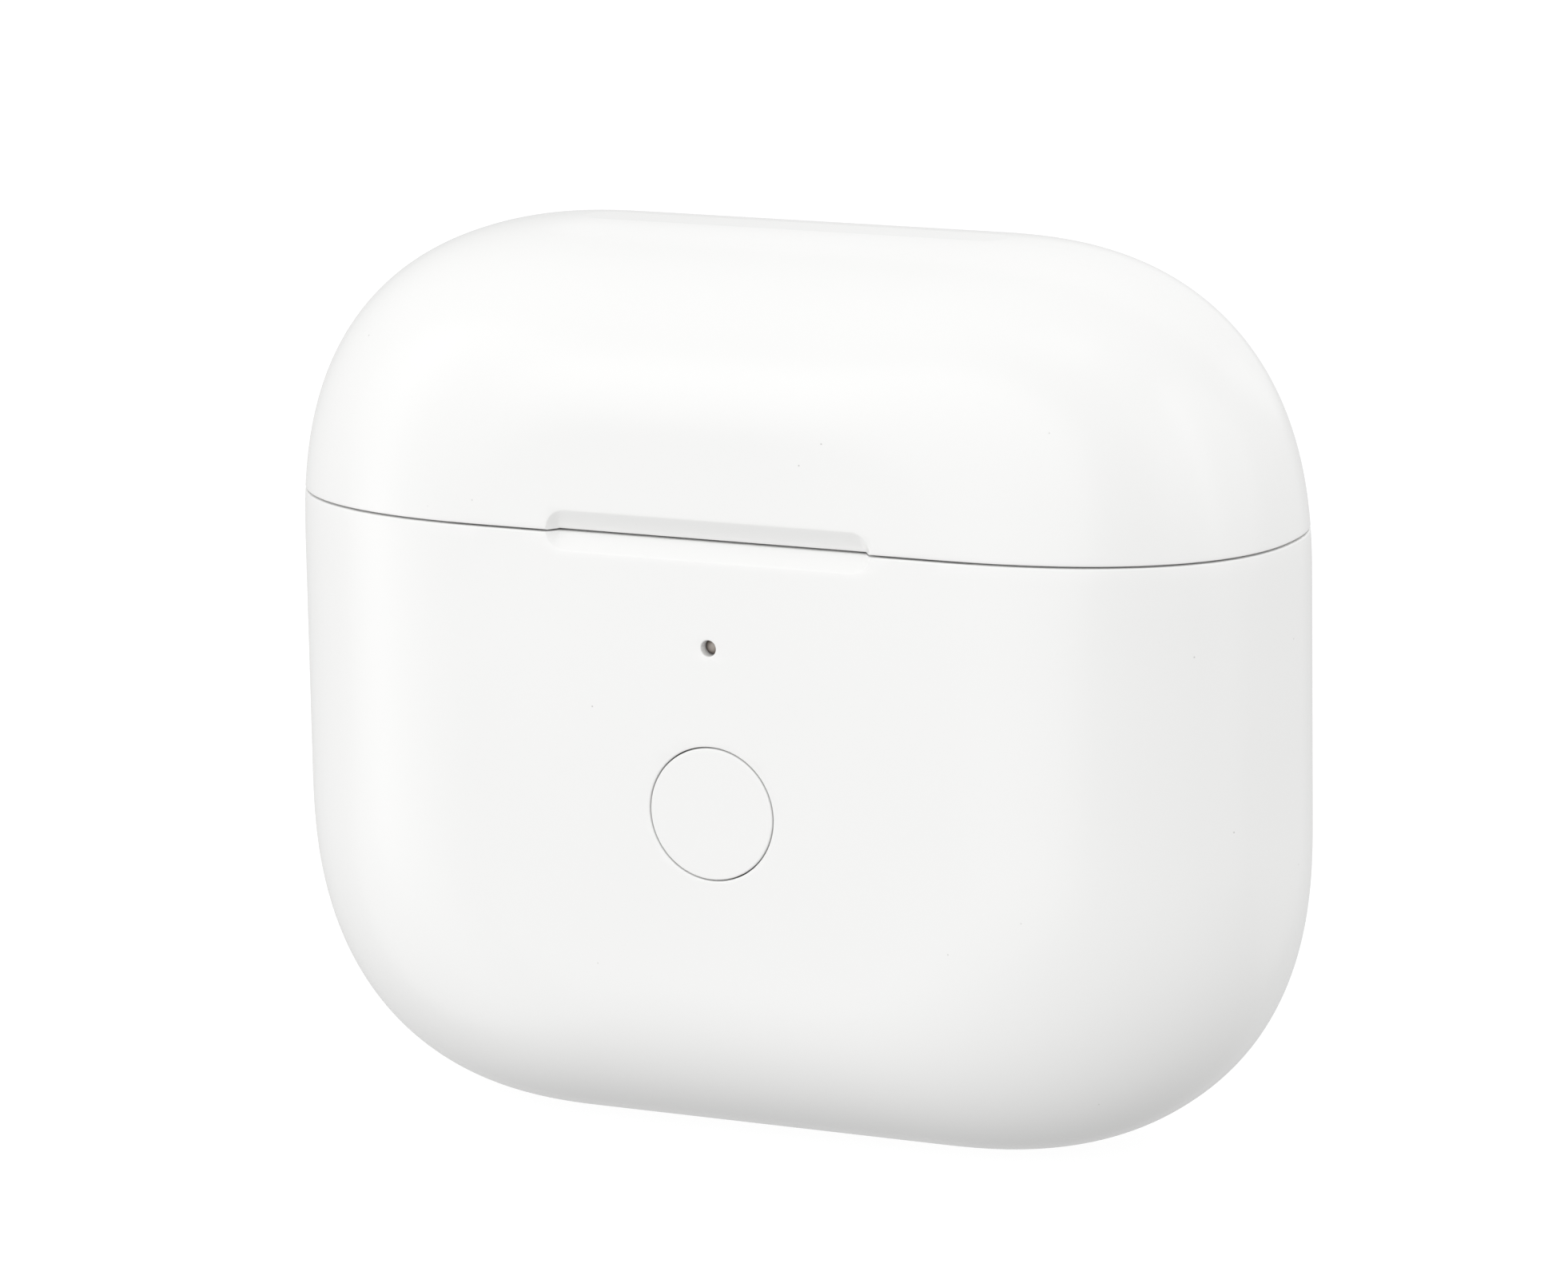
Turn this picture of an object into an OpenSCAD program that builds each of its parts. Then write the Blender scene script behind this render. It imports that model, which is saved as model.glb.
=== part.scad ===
// Wireless earbuds charging case: a clamshell of two rounded glossy shells.
// The lid turns on a steel hinge at the back. The lower half holds a cradle with
// two earbud wells, a cell, two circuit boards, a charging coil and a socket.
// Millimetres, +Z up, front face towards -Y, origin at the middle of the flat foot.

/* [Case] */
// Width of the closed case, side to side
case_w = 54.4; // [52:0.2:58]
// Depth of the closed case, front to back
case_d = 21.4; // [21.2:0.1:23]
// Height of the closed case
case_h = 46.4; // [46:0.2:50]
// Height of the parting plane above the foot
seam_z = 32.06; // [31.8:0.02:32.3]
// Gap between lid and base at the parting plane
seam_gap = 0.1; // [0.06:0.02:0.2]
// Wall thickness of both shells
wall = 1.2; // [1.1:0.05:1.3]

/* [Rounding] */
// Reach of the outline's corners, seen from the front
corner_r = 17.1; // [15:0.1:18]
// Exponent of the outline's corners, 2 is a circle
corner_n = 2.45; // [2:0.05:3]
// How far the edge rounding reaches in from the sides
side_round = 14.5; // [13:0.1:15]
// How far the edge rounding reaches in from the top and bottom
end_round = 9.1; // [8:0.1:10]
// Exponent of the edge rounding, 2 is a circle
round_n = 2.28; // [2:0.02:2.6]
// Share of the edge rounding that shrinks the corners
corner_taper = 0.6; // [0.5:0.05:0.7]

/* [Thumb notch] */
// Width of the thumb notch at the front face
notch_w = 18; // [14:0.5:20]
// Height of the thumb notch above the parting plane
notch_up = 1.15; // [0.8:0.05:1.4]
// Height of the thumb notch below the parting plane
notch_down = 1.0; // [0.8:0.05:1.4]
// Depth of the thumb notch at the parting plane
notch_depth = 0.75; // [0.5:0.05:0.8]

/* [Front face] */
// Height of the status light above the foot
led_z = 26.7; // [26:0.1:27.4]
// Diameter of the status light's hole
led_d = 0.86; // [0.7:0.02:1]
// Height of the pairing button's centre above the foot
button_z = 18.2; // [17:0.1:19]
// Diameter of the pairing button
button_d = 6.84; // [6:0.02:7.2]
// Gap around the pairing button
button_gap = 0.08; // [0.05:0.01:0.12]
// Inward travel of the pairing button
button_travel = 0.25; // [0.15:0.05:0.3]

/* [Earbud wells] */
// Distance of each stem bore from the middle plane
stem_x = 18.6; // [18.4:0.1:18.8]
// Diameter of each stem bore
stem_d = 6.8; // [6.2:0.1:6.8]
// Height of the stem bore's floor above the foot
stem_floor_z = 10.2; // [10:0.1:10.6]
// Travel of each spring contact
pin_travel = 0.6; // [0.4:0.1:0.6]

/* [Hinge] */
// Length of the hinge, side to side
hinge_w = 20; // [18:0.5:20]
// Radius of the hinge knuckles
knuckle_r = 0.65; // [0.6:0.05:0.7]
// Radius of the hinge pin
pin_r = 0.35; // [0.3:0.05:0.4]

/* [Hidden] */

// Height trimmed off the theoretical shape to make the foot and the crown flat
foot_trim = 0.15;
crown_trim = 0.02;
half_d = case_d / 2;
half_h = (case_h + foot_trim + crown_trim) / 2;
mid_z = half_h - foot_trim;
// Points in a quarter of each ring, and rings in each skin of a shell
quarter = 13;
outer_rings = 15;
inner_rings = 9;
lid_z = seam_z + seam_gap / 2;
base_z = seam_z - seam_gap / 2;
// Plates that close the two shells at the parting plane
plate_t = 1.2;
plate_recess = 0.1;
deck_low = base_z - plate_recess - plate_t;
liner_low = lid_z + plate_recess;
liner_top = liner_low + plate_t;
slip = 0.08;
bore_fn = 48;
sphere_fn = 32;

// Stations of the parts inside, from the front wall to the back wall
front_wall_y = -half_d + wall;
back_wall_y = half_d - wall;
front_board_y = -7.9;
board_t = 0.8;
flex_t = 0.15;
main_board_y = 1.6;
main_board_top = 22.4;
board_screw_x = 11.2;
board_screw_z = 8.8;
cell_y = -5.0;
cell_d = 6.3;
cell_z = 10;
cell_h = 12.2;
cell_w = 24;
cell_top = cell_z + cell_h;
coil_z = 16.6;
coil_r = 8.6;
coil_y = back_wall_y - 0.95;
// Back of the button's flange, and the face of the switch, which the flange never reaches
flange_back_y = front_wall_y + 0.35;
switch_face_y = flange_back_y + button_travel + 0.15;
socket_z = 0.25;
socket_h = 7.3;

// Hinge geometry: the barrel is flush with the back face
hinge_y = half_d - knuckle_r;
hinge_z = seam_z;
centre_knuckle = 8;
rabbet_in = 0.15;
rabbet_h = 0.85;
window_up = 2.75;
window_down = 2.7;
leaf_tail_t = 0.75;
leaf_tail_y = back_wall_y - 0.05 - leaf_tail_t;
leaf_w = hinge_w - 0.12;
tail_w = 16;
leaf_corner_r = 0.85;
leaf_screw_x = 5.5;
base_screw_z = 27.3;
lid_screw_z = 36.4;
screw_r = 0.5;

// Wells: the bowl for an earbud's head is two spheres hulled together
head_x = 15.4;
head_r = 7.9;
inner_head_x = 10.9;
inner_head_y = -1.2;
inner_head_r = 6.6;
tub_wall = 0.9;
lid_bowl_z = seam_z + 2.4;
stem_y = 0.8;
tube_end = 7.45;
magnet_cup_z = 22.4;
pin_pitch = 2.6;
barrel_floor = tube_end - 0.05;
// A pin's shoulder rests on its spring, and its tip stands clear of the well's floor
pin_low = barrel_floor + 0.55 + pin_travel;
pin_top = stem_floor_z + 0.3 + pin_travel;

// ---------------------------------------------------------------- outer form
// Share of the edge rounding used up at depth share v, 0 in the middle plane and 1 at the face
function round_share(v) = v >= 1 ? 1 : 1 - pow(1 - pow(v, round_n), 1 / round_n);

// Half width of the form at depth y and height h above the form's middle, inset by t
function half_width(y, h, t) =
    let (s = round_share(abs(y) / (half_d - t)),
         a = case_w / 2 - t - (side_round - t) * s,
         b = half_h - t - (end_round - t) * s,
         r = corner_r - t - corner_taper * (side_round - t) * s,
         u = min(1, max(0, (abs(h) - (b - r)) / r)))
    a - r + r * pow(1 - pow(u, corner_n), 1 / corner_n);

// Half depth of the form at height h above its middle, inset by t
function half_depth(h, t) =
    let (left = (half_h - t - abs(h)) / (end_round - t))
    left >= 1 ? half_d - t
              : (half_d - t) * pow(1 - pow(1 - max(0, left), round_n), 1 / round_n);

// One level ring of the form, anticlockwise from +X seen from above
function ring(z, t) =
    let (h = z - mid_z, depth = half_depth(h, t),
         side = [for (i = [0 : quarter])
             let (y = depth * pow(sin(90 * i / quarter), 2 / round_n))
             [half_width(y, h, t), y]])
    concat([for (i = [0 : quarter]) [side[i][0], side[i][1], z]],
           [for (i = [quarter : -1 : 0]) [-side[i][0], side[i][1], z]],
           [for (i = [1 : quarter]) [-side[i][0], -side[i][1], z]],
           [for (i = [quarter : -1 : 1]) [side[i][0], -side[i][1], z]]);

// Heights from z0 towards z1, closer together near z1 where the form turns over
function levels(z0, z1, count) =
    [for (i = [0 : count]) z0 + (z1 - z0) * sin(90 * i / count)];

// Closed solid through a list of rings that all have the same number of points
module loft(rings) {
    n = len(rings[0]);
    last = len(rings) - 1;
    points = [for (r = rings) each r];
    sides = [for (j = [0 : last - 1], i = [0 : n - 1])
        let (a = j * n + i, b = j * n + (i + 1) % n)
        each [[a, b + n, b], [a, a + n, b + n]]];
    caps = [[for (i = [0 : n - 1]) i], [for (i = [n - 1 : -1 : 0]) last * n + i]];
    polyhedron(points = points, faces = concat(sides, caps), convexity = 6);
}

// Cup-shaped shell from the parting plane z0 to its flat end z1, open at z0
module shell_cup(z0, z1) {
    end_in = z1 > z0 ? z1 - wall : z1 + wall;
    skin = [for (z = levels(z0, z1, outer_rings)) ring(z, 0)];
    lining = [for (z = levels(z0, end_in, inner_rings)) ring(z, wall)];
    rings = concat([for (i = [outer_rings : -1 : 0]) skin[i]], lining);
    if (z1 > z0)
        mirror([0, 0, 1]) loft([for (r = rings) [for (p = r) [p[0], p[1], -p[2]]]]);
    else
        loft(rings);
}

// Flat plate from height z upwards, with the outline of the lining at height fit_z
module lining_plate(z, fit_z) {
    translate([0, 0, z]) linear_extrude(plate_t)
        polygon([for (p = ring(fit_z, wall + slip)) [p[0], p[1]]]);
}

// Cylinder along +Y from y0 to y1
module y_rod(x, z, y0, y1, r) {
    translate([x, y0, z]) rotate([-90, 0, 0]) cylinder(h = y1 - y0, r = r, $fn = bore_fn);
}

// Box given by its low corner and its high corner
module block(low, high) {
    translate(low) cube(high - low);
}

// Slot shape in the XY plane: a rectangle with round ends, centred
module slot_2d(w, d) {
    square([w - d, d], center = true);
    for (side = [-1, 1])
        translate([side * (w - d) / 2, 0]) circle(d = d, $fn = bore_fn);
}

// Tab in the XZ plane that stands h high on the line z, its far corners rounded
// by r, and reaches from y0 to y1; a negative h hangs it below the line
module tab(z, w, h, r, y0, y1) {
    translate([0, y1, z]) rotate([90, 0, 0]) mirror([0, h < 0 ? 1 : 0, 0])
        linear_extrude(y1 - y0) {
            translate([-w / 2, 0]) square([w, abs(h) - r]);
            translate([-w / 2 + r, 0]) square([w - 2 * r, abs(h)]);
            for (side = [-1, 1])
                translate([side * (w / 2 - r), abs(h) - r]) circle(r = r, $fn = bore_fn);
        }
}

// Thumb notch cutter: a wide shallow V with rounded ends, deepest at the parting plane
module notch_cutter() {
    face_r = 1.05;
    deep_w = notch_w - 1.9;
    front = -half_d;
    hull() {
        for (side = [-1, 1], level = [seam_z + notch_up - face_r, seam_z - notch_down + face_r])
            translate([side * (notch_w / 2 - face_r), front - 0.02, level])
                rotate([90, 0, 0]) cylinder(h = 0.2, r = face_r, $fn = 28);
        block([-deep_w / 2, front - 0.1, seam_z - 0.12],
              [deep_w / 2, front + notch_depth, seam_z + 0.12]);
    }
}

// ---------------------------------------------------------------- lower shell
module base_shell() {
    color("white") difference() {
        shell_cup(base_z, 0);
        notch_cutter();
        y_rod(0, led_z, -half_d - 1, front_wall_y + 1, led_d / 2);
        y_rod(0, button_z, -half_d - 1, front_wall_y + 1, button_d / 2 + button_gap);
        translate([0, 0, -1]) linear_extrude(wall + 2) slot_2d(9.3, 3.5);
        tab(seam_z, hinge_w, -window_down, leaf_corner_r, back_wall_y - 1, half_d + 1);
    }
}

// ---------------------------------------------------------------- cradle
// Space of one earbud's head below the deck, grown outwards by g
module head_bowl(side, g) {
    hull() {
        translate([side * head_x, 0, seam_z]) sphere(r = head_r + g, $fn = sphere_fn);
        translate([side * inner_head_x, inner_head_y, seam_z])
            sphere(r = inner_head_r + g, $fn = sphere_fn);
    }
}

module stem_rod(side, z0, z1, r) {
    translate([side * stem_x, stem_y, z0]) cylinder(h = z1 - z0, r = r, $fn = bore_fn);
}

module cradle() {
    color("white") difference() {
        union() {
            lining_plate(deck_low, deck_low);
            intersection() {
                for (side = [-1, 1]) head_bowl(side, tub_wall);
                block([-case_w / 2, -half_d, 0], [case_w / 2, half_d, base_z - 0.2]);
            }
            for (side = [-1, 1]) {
                stem_rod(side, tube_end, base_z - 1, stem_d / 2 + tub_wall);
                // lug for a board screw, carried by an arm on the stem tube
                y_rod(side * board_screw_x, board_screw_z, main_board_y + board_t, 5, 1.3);
                arm = [side * board_screw_x, side * 16];
                block([min(arm), main_board_y + board_t + 0.1, board_screw_z - 0.75],
                      [max(arm), 4, board_screw_z + 0.75]);
                // cup for a retaining magnet under the head bowl
                translate([side * inner_head_x, inner_head_y, magnet_cup_z])
                    cylinder(h = 3, r = 2.7, $fn = bore_fn);
                // lug for a hinge screw, against the back of the head bowl
                y_rod(side * leaf_screw_x, base_screw_z, 3.2, leaf_tail_y - 0.05, 1.3);
                // bridge between the two lugs and the deck
                block([side * leaf_screw_x - 0.8, 5.2, base_screw_z],
                      [side * leaf_screw_x + 0.8, leaf_tail_y - 0.15, base_z - 0.5]);
            }
        }
        for (side = [-1, 1]) {
            head_bowl(side, 0);
            stem_rod(side, stem_floor_z, seam_z, stem_d / 2);
            stem_rod(side, 0, stem_floor_z - 1, stem_d / 2);
            for (row = [-1, 1])
                translate([side * stem_x, stem_y + row * pin_pitch / 2, 0])
                    cylinder(h = 15, r = 0.42, $fn = bore_fn);
            translate([side * inner_head_x, inner_head_y, magnet_cup_z - 1])
                cylinder(h = 2.75, r = 2.05, $fn = bore_fn);
            y_rod(side * board_screw_x, board_screw_z, 0, 4.5, 0.45);
            y_rod(side * leaf_screw_x, base_screw_z, 6.0, 10, screw_r);
        }
        // room for the hinge leaf behind the deck
        block([-hinge_w / 2 - 0.15, leaf_tail_y - 0.1, 20], [hinge_w / 2 + 0.15, half_d, seam_z]);
    }
}

// ---------------------------------------------------------------- status light
module led_lens() {
    color([0.25, 0.22, 0.2, 0.8]) {
        y_rod(0, led_z, -half_d + 0.45, front_wall_y + 0.2, led_d / 2 - 0.03);
        y_rod(0, led_z, front_wall_y + 0.05, -8.6, 1.1);
    }
}

module led_chip() {
    color("lightyellow") block([-0.8, -8.5, led_z - 0.4], [0.8, front_board_y, led_z + 0.4]);
}

// ---------------------------------------------------------------- front board
module front_board() {
    color("darkgreen") {
        block([-5, front_board_y, 12.5], [5, front_board_y + board_t, 22.4]);
        block([-2.2, front_board_y, 22.3], [2.2, front_board_y + board_t, 28.3]);
    }
}

module hall_sensor() {
    color("dimgray") block([-0.8, front_board_y - 0.55, 27.4], [0.8, front_board_y, 28.2]);
}

module switch_frame() {
    color("silver") difference() {
        block([-1.7, switch_face_y, button_z - 1.4], [1.7, front_board_y, button_z + 1.4]);
        y_rod(0, button_z, -9, front_board_y - 0.15, 0.75);
    }
}

// Bracket that backs the front board, so that the button has something to press against
module board_bracket() {
    back = front_board_y + board_t;
    low = 15;
    high = 21.4;
    color("silver") {
        block([-5.6, back, low], [5.6, back + 0.4, high]);
        for (side = [-1, 1]) {
            arm = [side * 5.1, side * 5.6];
            foot = [side * 5.1, side * 7.2];
            block([min(arm), front_wall_y, low], [max(arm), back + 0.4, high]);
            block([min(foot), front_wall_y, low], [max(foot), front_wall_y + 0.4, high]);
        }
    }
}

// Snap dome under the plunger, a shallow dished disc
module switch_dome() {
    color("silver") translate([0, front_board_y - 0.15, button_z]) rotate([90, 0, 0])
        rotate_extrude($fn = bore_fn)
            polygon([[0, 0.16], [0.35, 0.13], [0.7, 0], [0.7, 0.05], [0.35, 0.18], [0, 0.21]]);
}

module front_flex() {
    color("orange") {
        block([-2, front_board_y + board_t, 8.75], [2, front_board_y + board_t + flex_t, 14]);
        block([-2, front_board_y + board_t, 8.75], [2, main_board_y, 8.75 + flex_t]);
    }
}

// ---------------------------------------------------------------- pairing button
module button_cap() {
    color("white") {
        y_rod(0, button_z, -half_d, front_wall_y + 0.1, button_d / 2);
        y_rod(0, button_z, front_wall_y + 0.05, flange_back_y, button_d / 2 + 0.7);
    }
}

module switch_plunger() {
    color("black") y_rod(0, button_z, flange_back_y, switch_face_y + 0.35, 0.65);
}

// ---------------------------------------------------------------- main board
module main_board() {
    color("darkgreen") difference() {
        block([-12.6, main_board_y, 2.4], [12.6, main_board_y + board_t, main_board_top]);
        for (side = [-1, 1]) {
            // corners cut to follow the rounded shell
            translate([side * 12.6, main_board_y - 1, 2.4]) rotate([0, 45, 0])
                cube([3.4, 4, 3.4], center = true);
            y_rod(side * board_screw_x, board_screw_z, main_board_y - 1, main_board_y + 2, 0.6);
        }
    }
}

// Chips, coils and the crystal on the back of the main board: centre x, centre z, width, height, thickness
module board_chips() {
    chips = [[-5.5, 16.5, 5, 5, 0.9], [3.5, 17.5, 4, 4, 0.8], [9, 17, 3, 3, 1.2],
             [-5.5, 10.5, 3, 3, 0.75], [0, 11.5, 2.5, 2, 0.6], [5, 11, 3.2, 2.5, 1]];
    back = main_board_y + board_t;
    color("dimgray") {
        for (c = chips)
            block([c[0] - c[2] / 2, back, c[1] - c[3] / 2],
                  [c[0] + c[2] / 2, back + c[4], c[1] + c[3] / 2]);
        for (row = [0 : 1], col = [0 : 5])
            block([-10.9 + row * 18.2, back, 12.4 + col * 1.3],
                  [-9.9 + row * 18.2, back + 0.5, 12.9 + col * 1.3]);
    }
}

// ---------------------------------------------------------------- charging socket
module socket_shell() {
    color("silver") translate([0, 0, socket_z]) difference() {
        linear_extrude(socket_h) slot_2d(8.94, 3.2);
        translate([0, 0, -1]) linear_extrude(socket_h) slot_2d(8.34, 2.6);
    }
}

module socket_tongue() {
    color("black") translate([0, 0, socket_z]) {
        translate([0, 0, 5.1]) linear_extrude(1.2) slot_2d(8.3, 2.56);
        block([-3.35, -0.35, 1], [3.35, 0.35, 5.2]);
    }
}

// Gold strips on both faces of the tongue
module socket_contacts() {
    color("gold") for (i = [0 : 7], y = [-0.42, 0.35])
        translate([-2.6 + 0.7 * i, y, 1.6]) cube([0.3, 0.07, 3.7]);
}

// ---------------------------------------------------------------- power
module battery_cell() {
    edge = 1.4;
    color("silver") translate([-cell_w / 2, cell_y, cell_z]) {
        // pouch with rounded long edges
        translate([edge, 0, 0]) cube([cell_w - 2 * edge, cell_d, cell_h]);
        translate([0, edge, 0]) cube([cell_w, cell_d - 2 * edge, cell_h]);
        for (x = [edge, cell_w - edge], y = [edge, cell_d - edge])
            translate([x, y, 0]) cylinder(h = cell_h, r = edge, $fn = bore_fn);
    }
}

module battery_tabs() {
    color("lightgray") for (side = [-1, 1])
        block([side * 3 - 1, -1, cell_top], [side * 3 + 1, main_board_y, cell_top + 0.12]);
}

// Adhesive sheet between the cell and the main board
module cell_tape() {
    color("whitesmoke") block([-9, cell_y + cell_d, cell_z + 2], [9, main_board_y, cell_top - 2]);
}

module charge_coil() {
    color("peru") difference() {
        y_rod(0, coil_z, coil_y, coil_y + 0.75, coil_r);
        y_rod(0, coil_z, coil_y - 1, coil_y + 2, 4.6);
    }
}

// Flat lead pair from the coil's lower edge to the back of the main board
module coil_leads() {
    low = coil_z - coil_r - 1.1;
    color("orange") for (side = [-1, 1]) {
        block([side * 1 - 0.5, main_board_y + board_t, low], [side * 1 + 0.5, coil_y + 0.45, low + flex_t]);
        block([side * 1 - 0.5, coil_y + 0.3, low], [side * 1 + 0.5, coil_y + 0.45, low + 1]);
    }
}

module ferrite_sheet() {
    color("darkslategray") y_rod(0, coil_z, coil_y - 0.55, coil_y - 0.05, coil_r + 0.4);
}

// ---------------------------------------------------------------- magnets
module magnet_bar(z0) {
    color("silver") block([-4, front_wall_y + 0.3, z0], [4, front_wall_y + 2.9, z0 + 2]);
}

module earbud_magnets() {
    color("silver") for (side = [-1, 1])
        translate([side * inner_head_x, inner_head_y, magnet_cup_z])
            cylinder(h = 1.7, r = 2, $fn = bore_fn);
}

// ---------------------------------------------------------------- earbud contacts
module contact_board(side) {
    color("darkgreen") translate([side * stem_x, stem_y, barrel_floor - board_t])
        cylinder(h = board_t, r = stem_d / 2 + tub_wall, $fn = bore_fn);
}

// Flat leads from the underside of the contact boards to the main board's edges
module contact_flex() {
    top = barrel_floor - board_t;
    color("orange") for (side = [-1, 1])
        block([min(side * 12.6, side * 17), 0.9, top - flex_t], [max(side * 12.6, side * 17), 2.4, top]);
}

module at_pin(side, row) {
    translate([side * stem_x, stem_y + row * pin_pitch / 2, 0]) children();
}

module pin_barrels() {
    color("gold") for (side = [-1, 1], row = [-1, 1]) at_pin(side, row) difference() {
        translate([0, 0, barrel_floor]) cylinder(h = 1.75, r = 0.75, $fn = bore_fn);
        translate([0, 0, barrel_floor + 0.1]) cylinder(h = 3, r = 0.56, $fn = bore_fn);
    }
}

// Spring contact: a plunger with a rounded tip on a wider shoulder that slides in the barrel
module contact_pin(side, row) {
    r = 0.38;
    tip = [for (a = [0 : 15 : 75]) [r * cos(a), pin_top - r + r * sin(a)]];
    color("gold") at_pin(side, row) rotate_extrude($fn = bore_fn)
        polygon(concat([[0, pin_low], [0.53, pin_low], [0.53, pin_low + 0.5], [r, pin_low + 0.5]],
                       tip, [[0, pin_top]]));
}

// Helical spring under a contact pin, swept with a square wire
module pin_spring(side, row) {
    turns = 3;
    steps = 10;
    wire = 0.06;
    radius = 0.4;
    low = barrel_floor + 0.18;
    rise = pin_low - low - 0.09;
    total = turns * steps;
    rings = [for (i = [0 : total])
        let (a = 360 * i / steps, z = low + rise * i / total)
        [for (c = [[-1, -1], [1, -1], [1, 1], [-1, 1]])
            [(radius + wire * c[0]) * cos(a), (radius + wire * c[0]) * sin(a), z + wire * c[1]]]];
    color("silver") at_pin(side, row) loft([for (i = [total : -1 : 0]) rings[i]]);
}

// ---------------------------------------------------------------- hinge
module x_rod(x0, x1, r) {
    translate([x0, hinge_y, hinge_z]) rotate([0, 90, 0]) cylinder(h = x1 - x0, r = r, $fn = bore_fn);
}

module hinge_pin() {
    color("silver") x_rod(-hinge_w / 2 + 0.1, hinge_w / 2 - 0.1, pin_r);
}

// Screw hole through a leaf's tail, with a countersink at the outside
module leaf_holes(z) {
    for (side = [-1, 1]) {
        y_rod(side * leaf_screw_x, z, leaf_tail_y - 1, half_d, screw_r + 0.05);
        y_rod(side * leaf_screw_x, z, back_wall_y - 0.5, half_d, 0.98);
    }
}

module hinge_base_leaf() {
    pad_top = seam_z - rabbet_h;
    color("silver") difference() {
        union() {
            tab(pad_top, leaf_w, rabbet_h - window_down + 0.06, leaf_corner_r, leaf_tail_y, half_d);
            block([-tail_w / 2, leaf_tail_y, base_screw_z - 1.7],
                  [tail_w / 2, leaf_tail_y + leaf_tail_t, pad_top]);
            for (side = [-1, 1]) {
                x0 = side > 0 ? centre_knuckle / 2 + 0.1 : -hinge_w / 2 + 0.1;
                x1 = side > 0 ? hinge_w / 2 - 0.1 : -centre_knuckle / 2 - 0.1;
                x_rod(x0, x1, knuckle_r);
                block([x0, hinge_y - knuckle_r, pad_top - 0.1], [x1, half_d, hinge_z - 0.2]);
            }
        }
        x_rod(-hinge_w, hinge_w, pin_r + 0.01);
        x_rod(-centre_knuckle / 2 - 0.1, centre_knuckle / 2 + 0.1, knuckle_r + 0.1);
        leaf_holes(base_screw_z);
    }
}

module hinge_lid_leaf() {
    pad_low = seam_z + rabbet_h + 0.02;
    color("silver") difference() {
        union() {
            tab(pad_low, leaf_w, window_up - 0.06 - rabbet_h - 0.02, leaf_corner_r, leaf_tail_y, half_d);
            block([-tail_w / 2, leaf_tail_y, pad_low],
                  [tail_w / 2, leaf_tail_y + leaf_tail_t, lid_screw_z + 1.15]);
            x_rod(-centre_knuckle / 2, centre_knuckle / 2, knuckle_r);
            block([-centre_knuckle / 2, hinge_y - knuckle_r, hinge_z],
                  [centre_knuckle / 2, hinge_y - rabbet_in, pad_low + 0.1]);
        }
        x_rod(-hinge_w, hinge_w, pin_r + 0.03);
        leaf_holes(lid_screw_z);
    }
}

// Pair of countersunk screws through a leaf's tail, pointing forwards
module leaf_screws(z, reach) {
    color("dimgray") for (side = [-1, 1]) difference() {
        union() {
            y_rod(side * leaf_screw_x, z, leaf_tail_y - reach, back_wall_y - 0.3, screw_r - 0.02);
            y_rod(side * leaf_screw_x, z, back_wall_y - 0.48, back_wall_y - 0.08, 0.9);
        }
        for (turn = [0, 90])
            translate([side * leaf_screw_x, back_wall_y - 0.1, z]) rotate([0, turn, 0])
                cube([1.1, 0.4, 0.22], center = true);
    }
}

module board_screws() {
    color("dimgray") for (side = [-1, 1]) difference() {
        union() {
            y_rod(side * board_screw_x, board_screw_z, main_board_y - 0.5, main_board_y - 0.02, 0.95);
            y_rod(side * board_screw_x, board_screw_z, main_board_y - 0.1, 4.3, 0.42);
        }
        for (turn = [0, 90])
            translate([side * board_screw_x, main_board_y - 0.5, board_screw_z]) rotate([0, turn, 0])
                cube([1.1, 0.4, 0.22], center = true);
    }
}

// ---------------------------------------------------------------- lid
module lid_shell() {
    color("white") difference() {
        shell_cup(lid_z, case_h);
        notch_cutter();
        tab(seam_z, hinge_w, window_up, leaf_corner_r, back_wall_y - 1, half_d + 1);
        // rabbet that lets the lid's back edge swing past the base
        block([-19.5, hinge_y - rabbet_in, seam_z - 1], [19.5, half_d + 1, seam_z + rabbet_h]);
    }
}

// Space of one earbud's head inside the lid, grown outwards by g
module lid_bowl(side, g) {
    hull() for (s = [[14.6, 0, 7.3], [10.8, -0.8, 7.0]]) {
        translate([side * s[0], s[1], lid_bowl_z]) sphere(r = s[2] + g, $fn = sphere_fn);
        translate([side * s[0], s[1], seam_z - 1])
            cylinder(h = 1, r = s[2] + g, $fn = sphere_fn);
    }
}

module lid_liner() {
    color("white") difference() {
        union() {
            lining_plate(liner_low, liner_top);
            intersection() {
                for (side = [-1, 1]) lid_bowl(side, tub_wall);
                block([-case_w / 2, -half_d, lid_z + 0.2], [case_w / 2, half_d, case_h]);
            }
            for (side = [-1, 1])
                y_rod(side * leaf_screw_x, lid_screw_z, 3.6, leaf_tail_y - 0.05, 1.15);
        }
        for (side = [-1, 1]) {
            lid_bowl(side, 0);
            y_rod(side * leaf_screw_x, lid_screw_z, 6.6, 10, screw_r);
        }
        block([-hinge_w / 2 - 0.15, leaf_tail_y - 0.1, seam_z - 1], [hinge_w / 2 + 0.15, half_d, 40]);
    }
}

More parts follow.
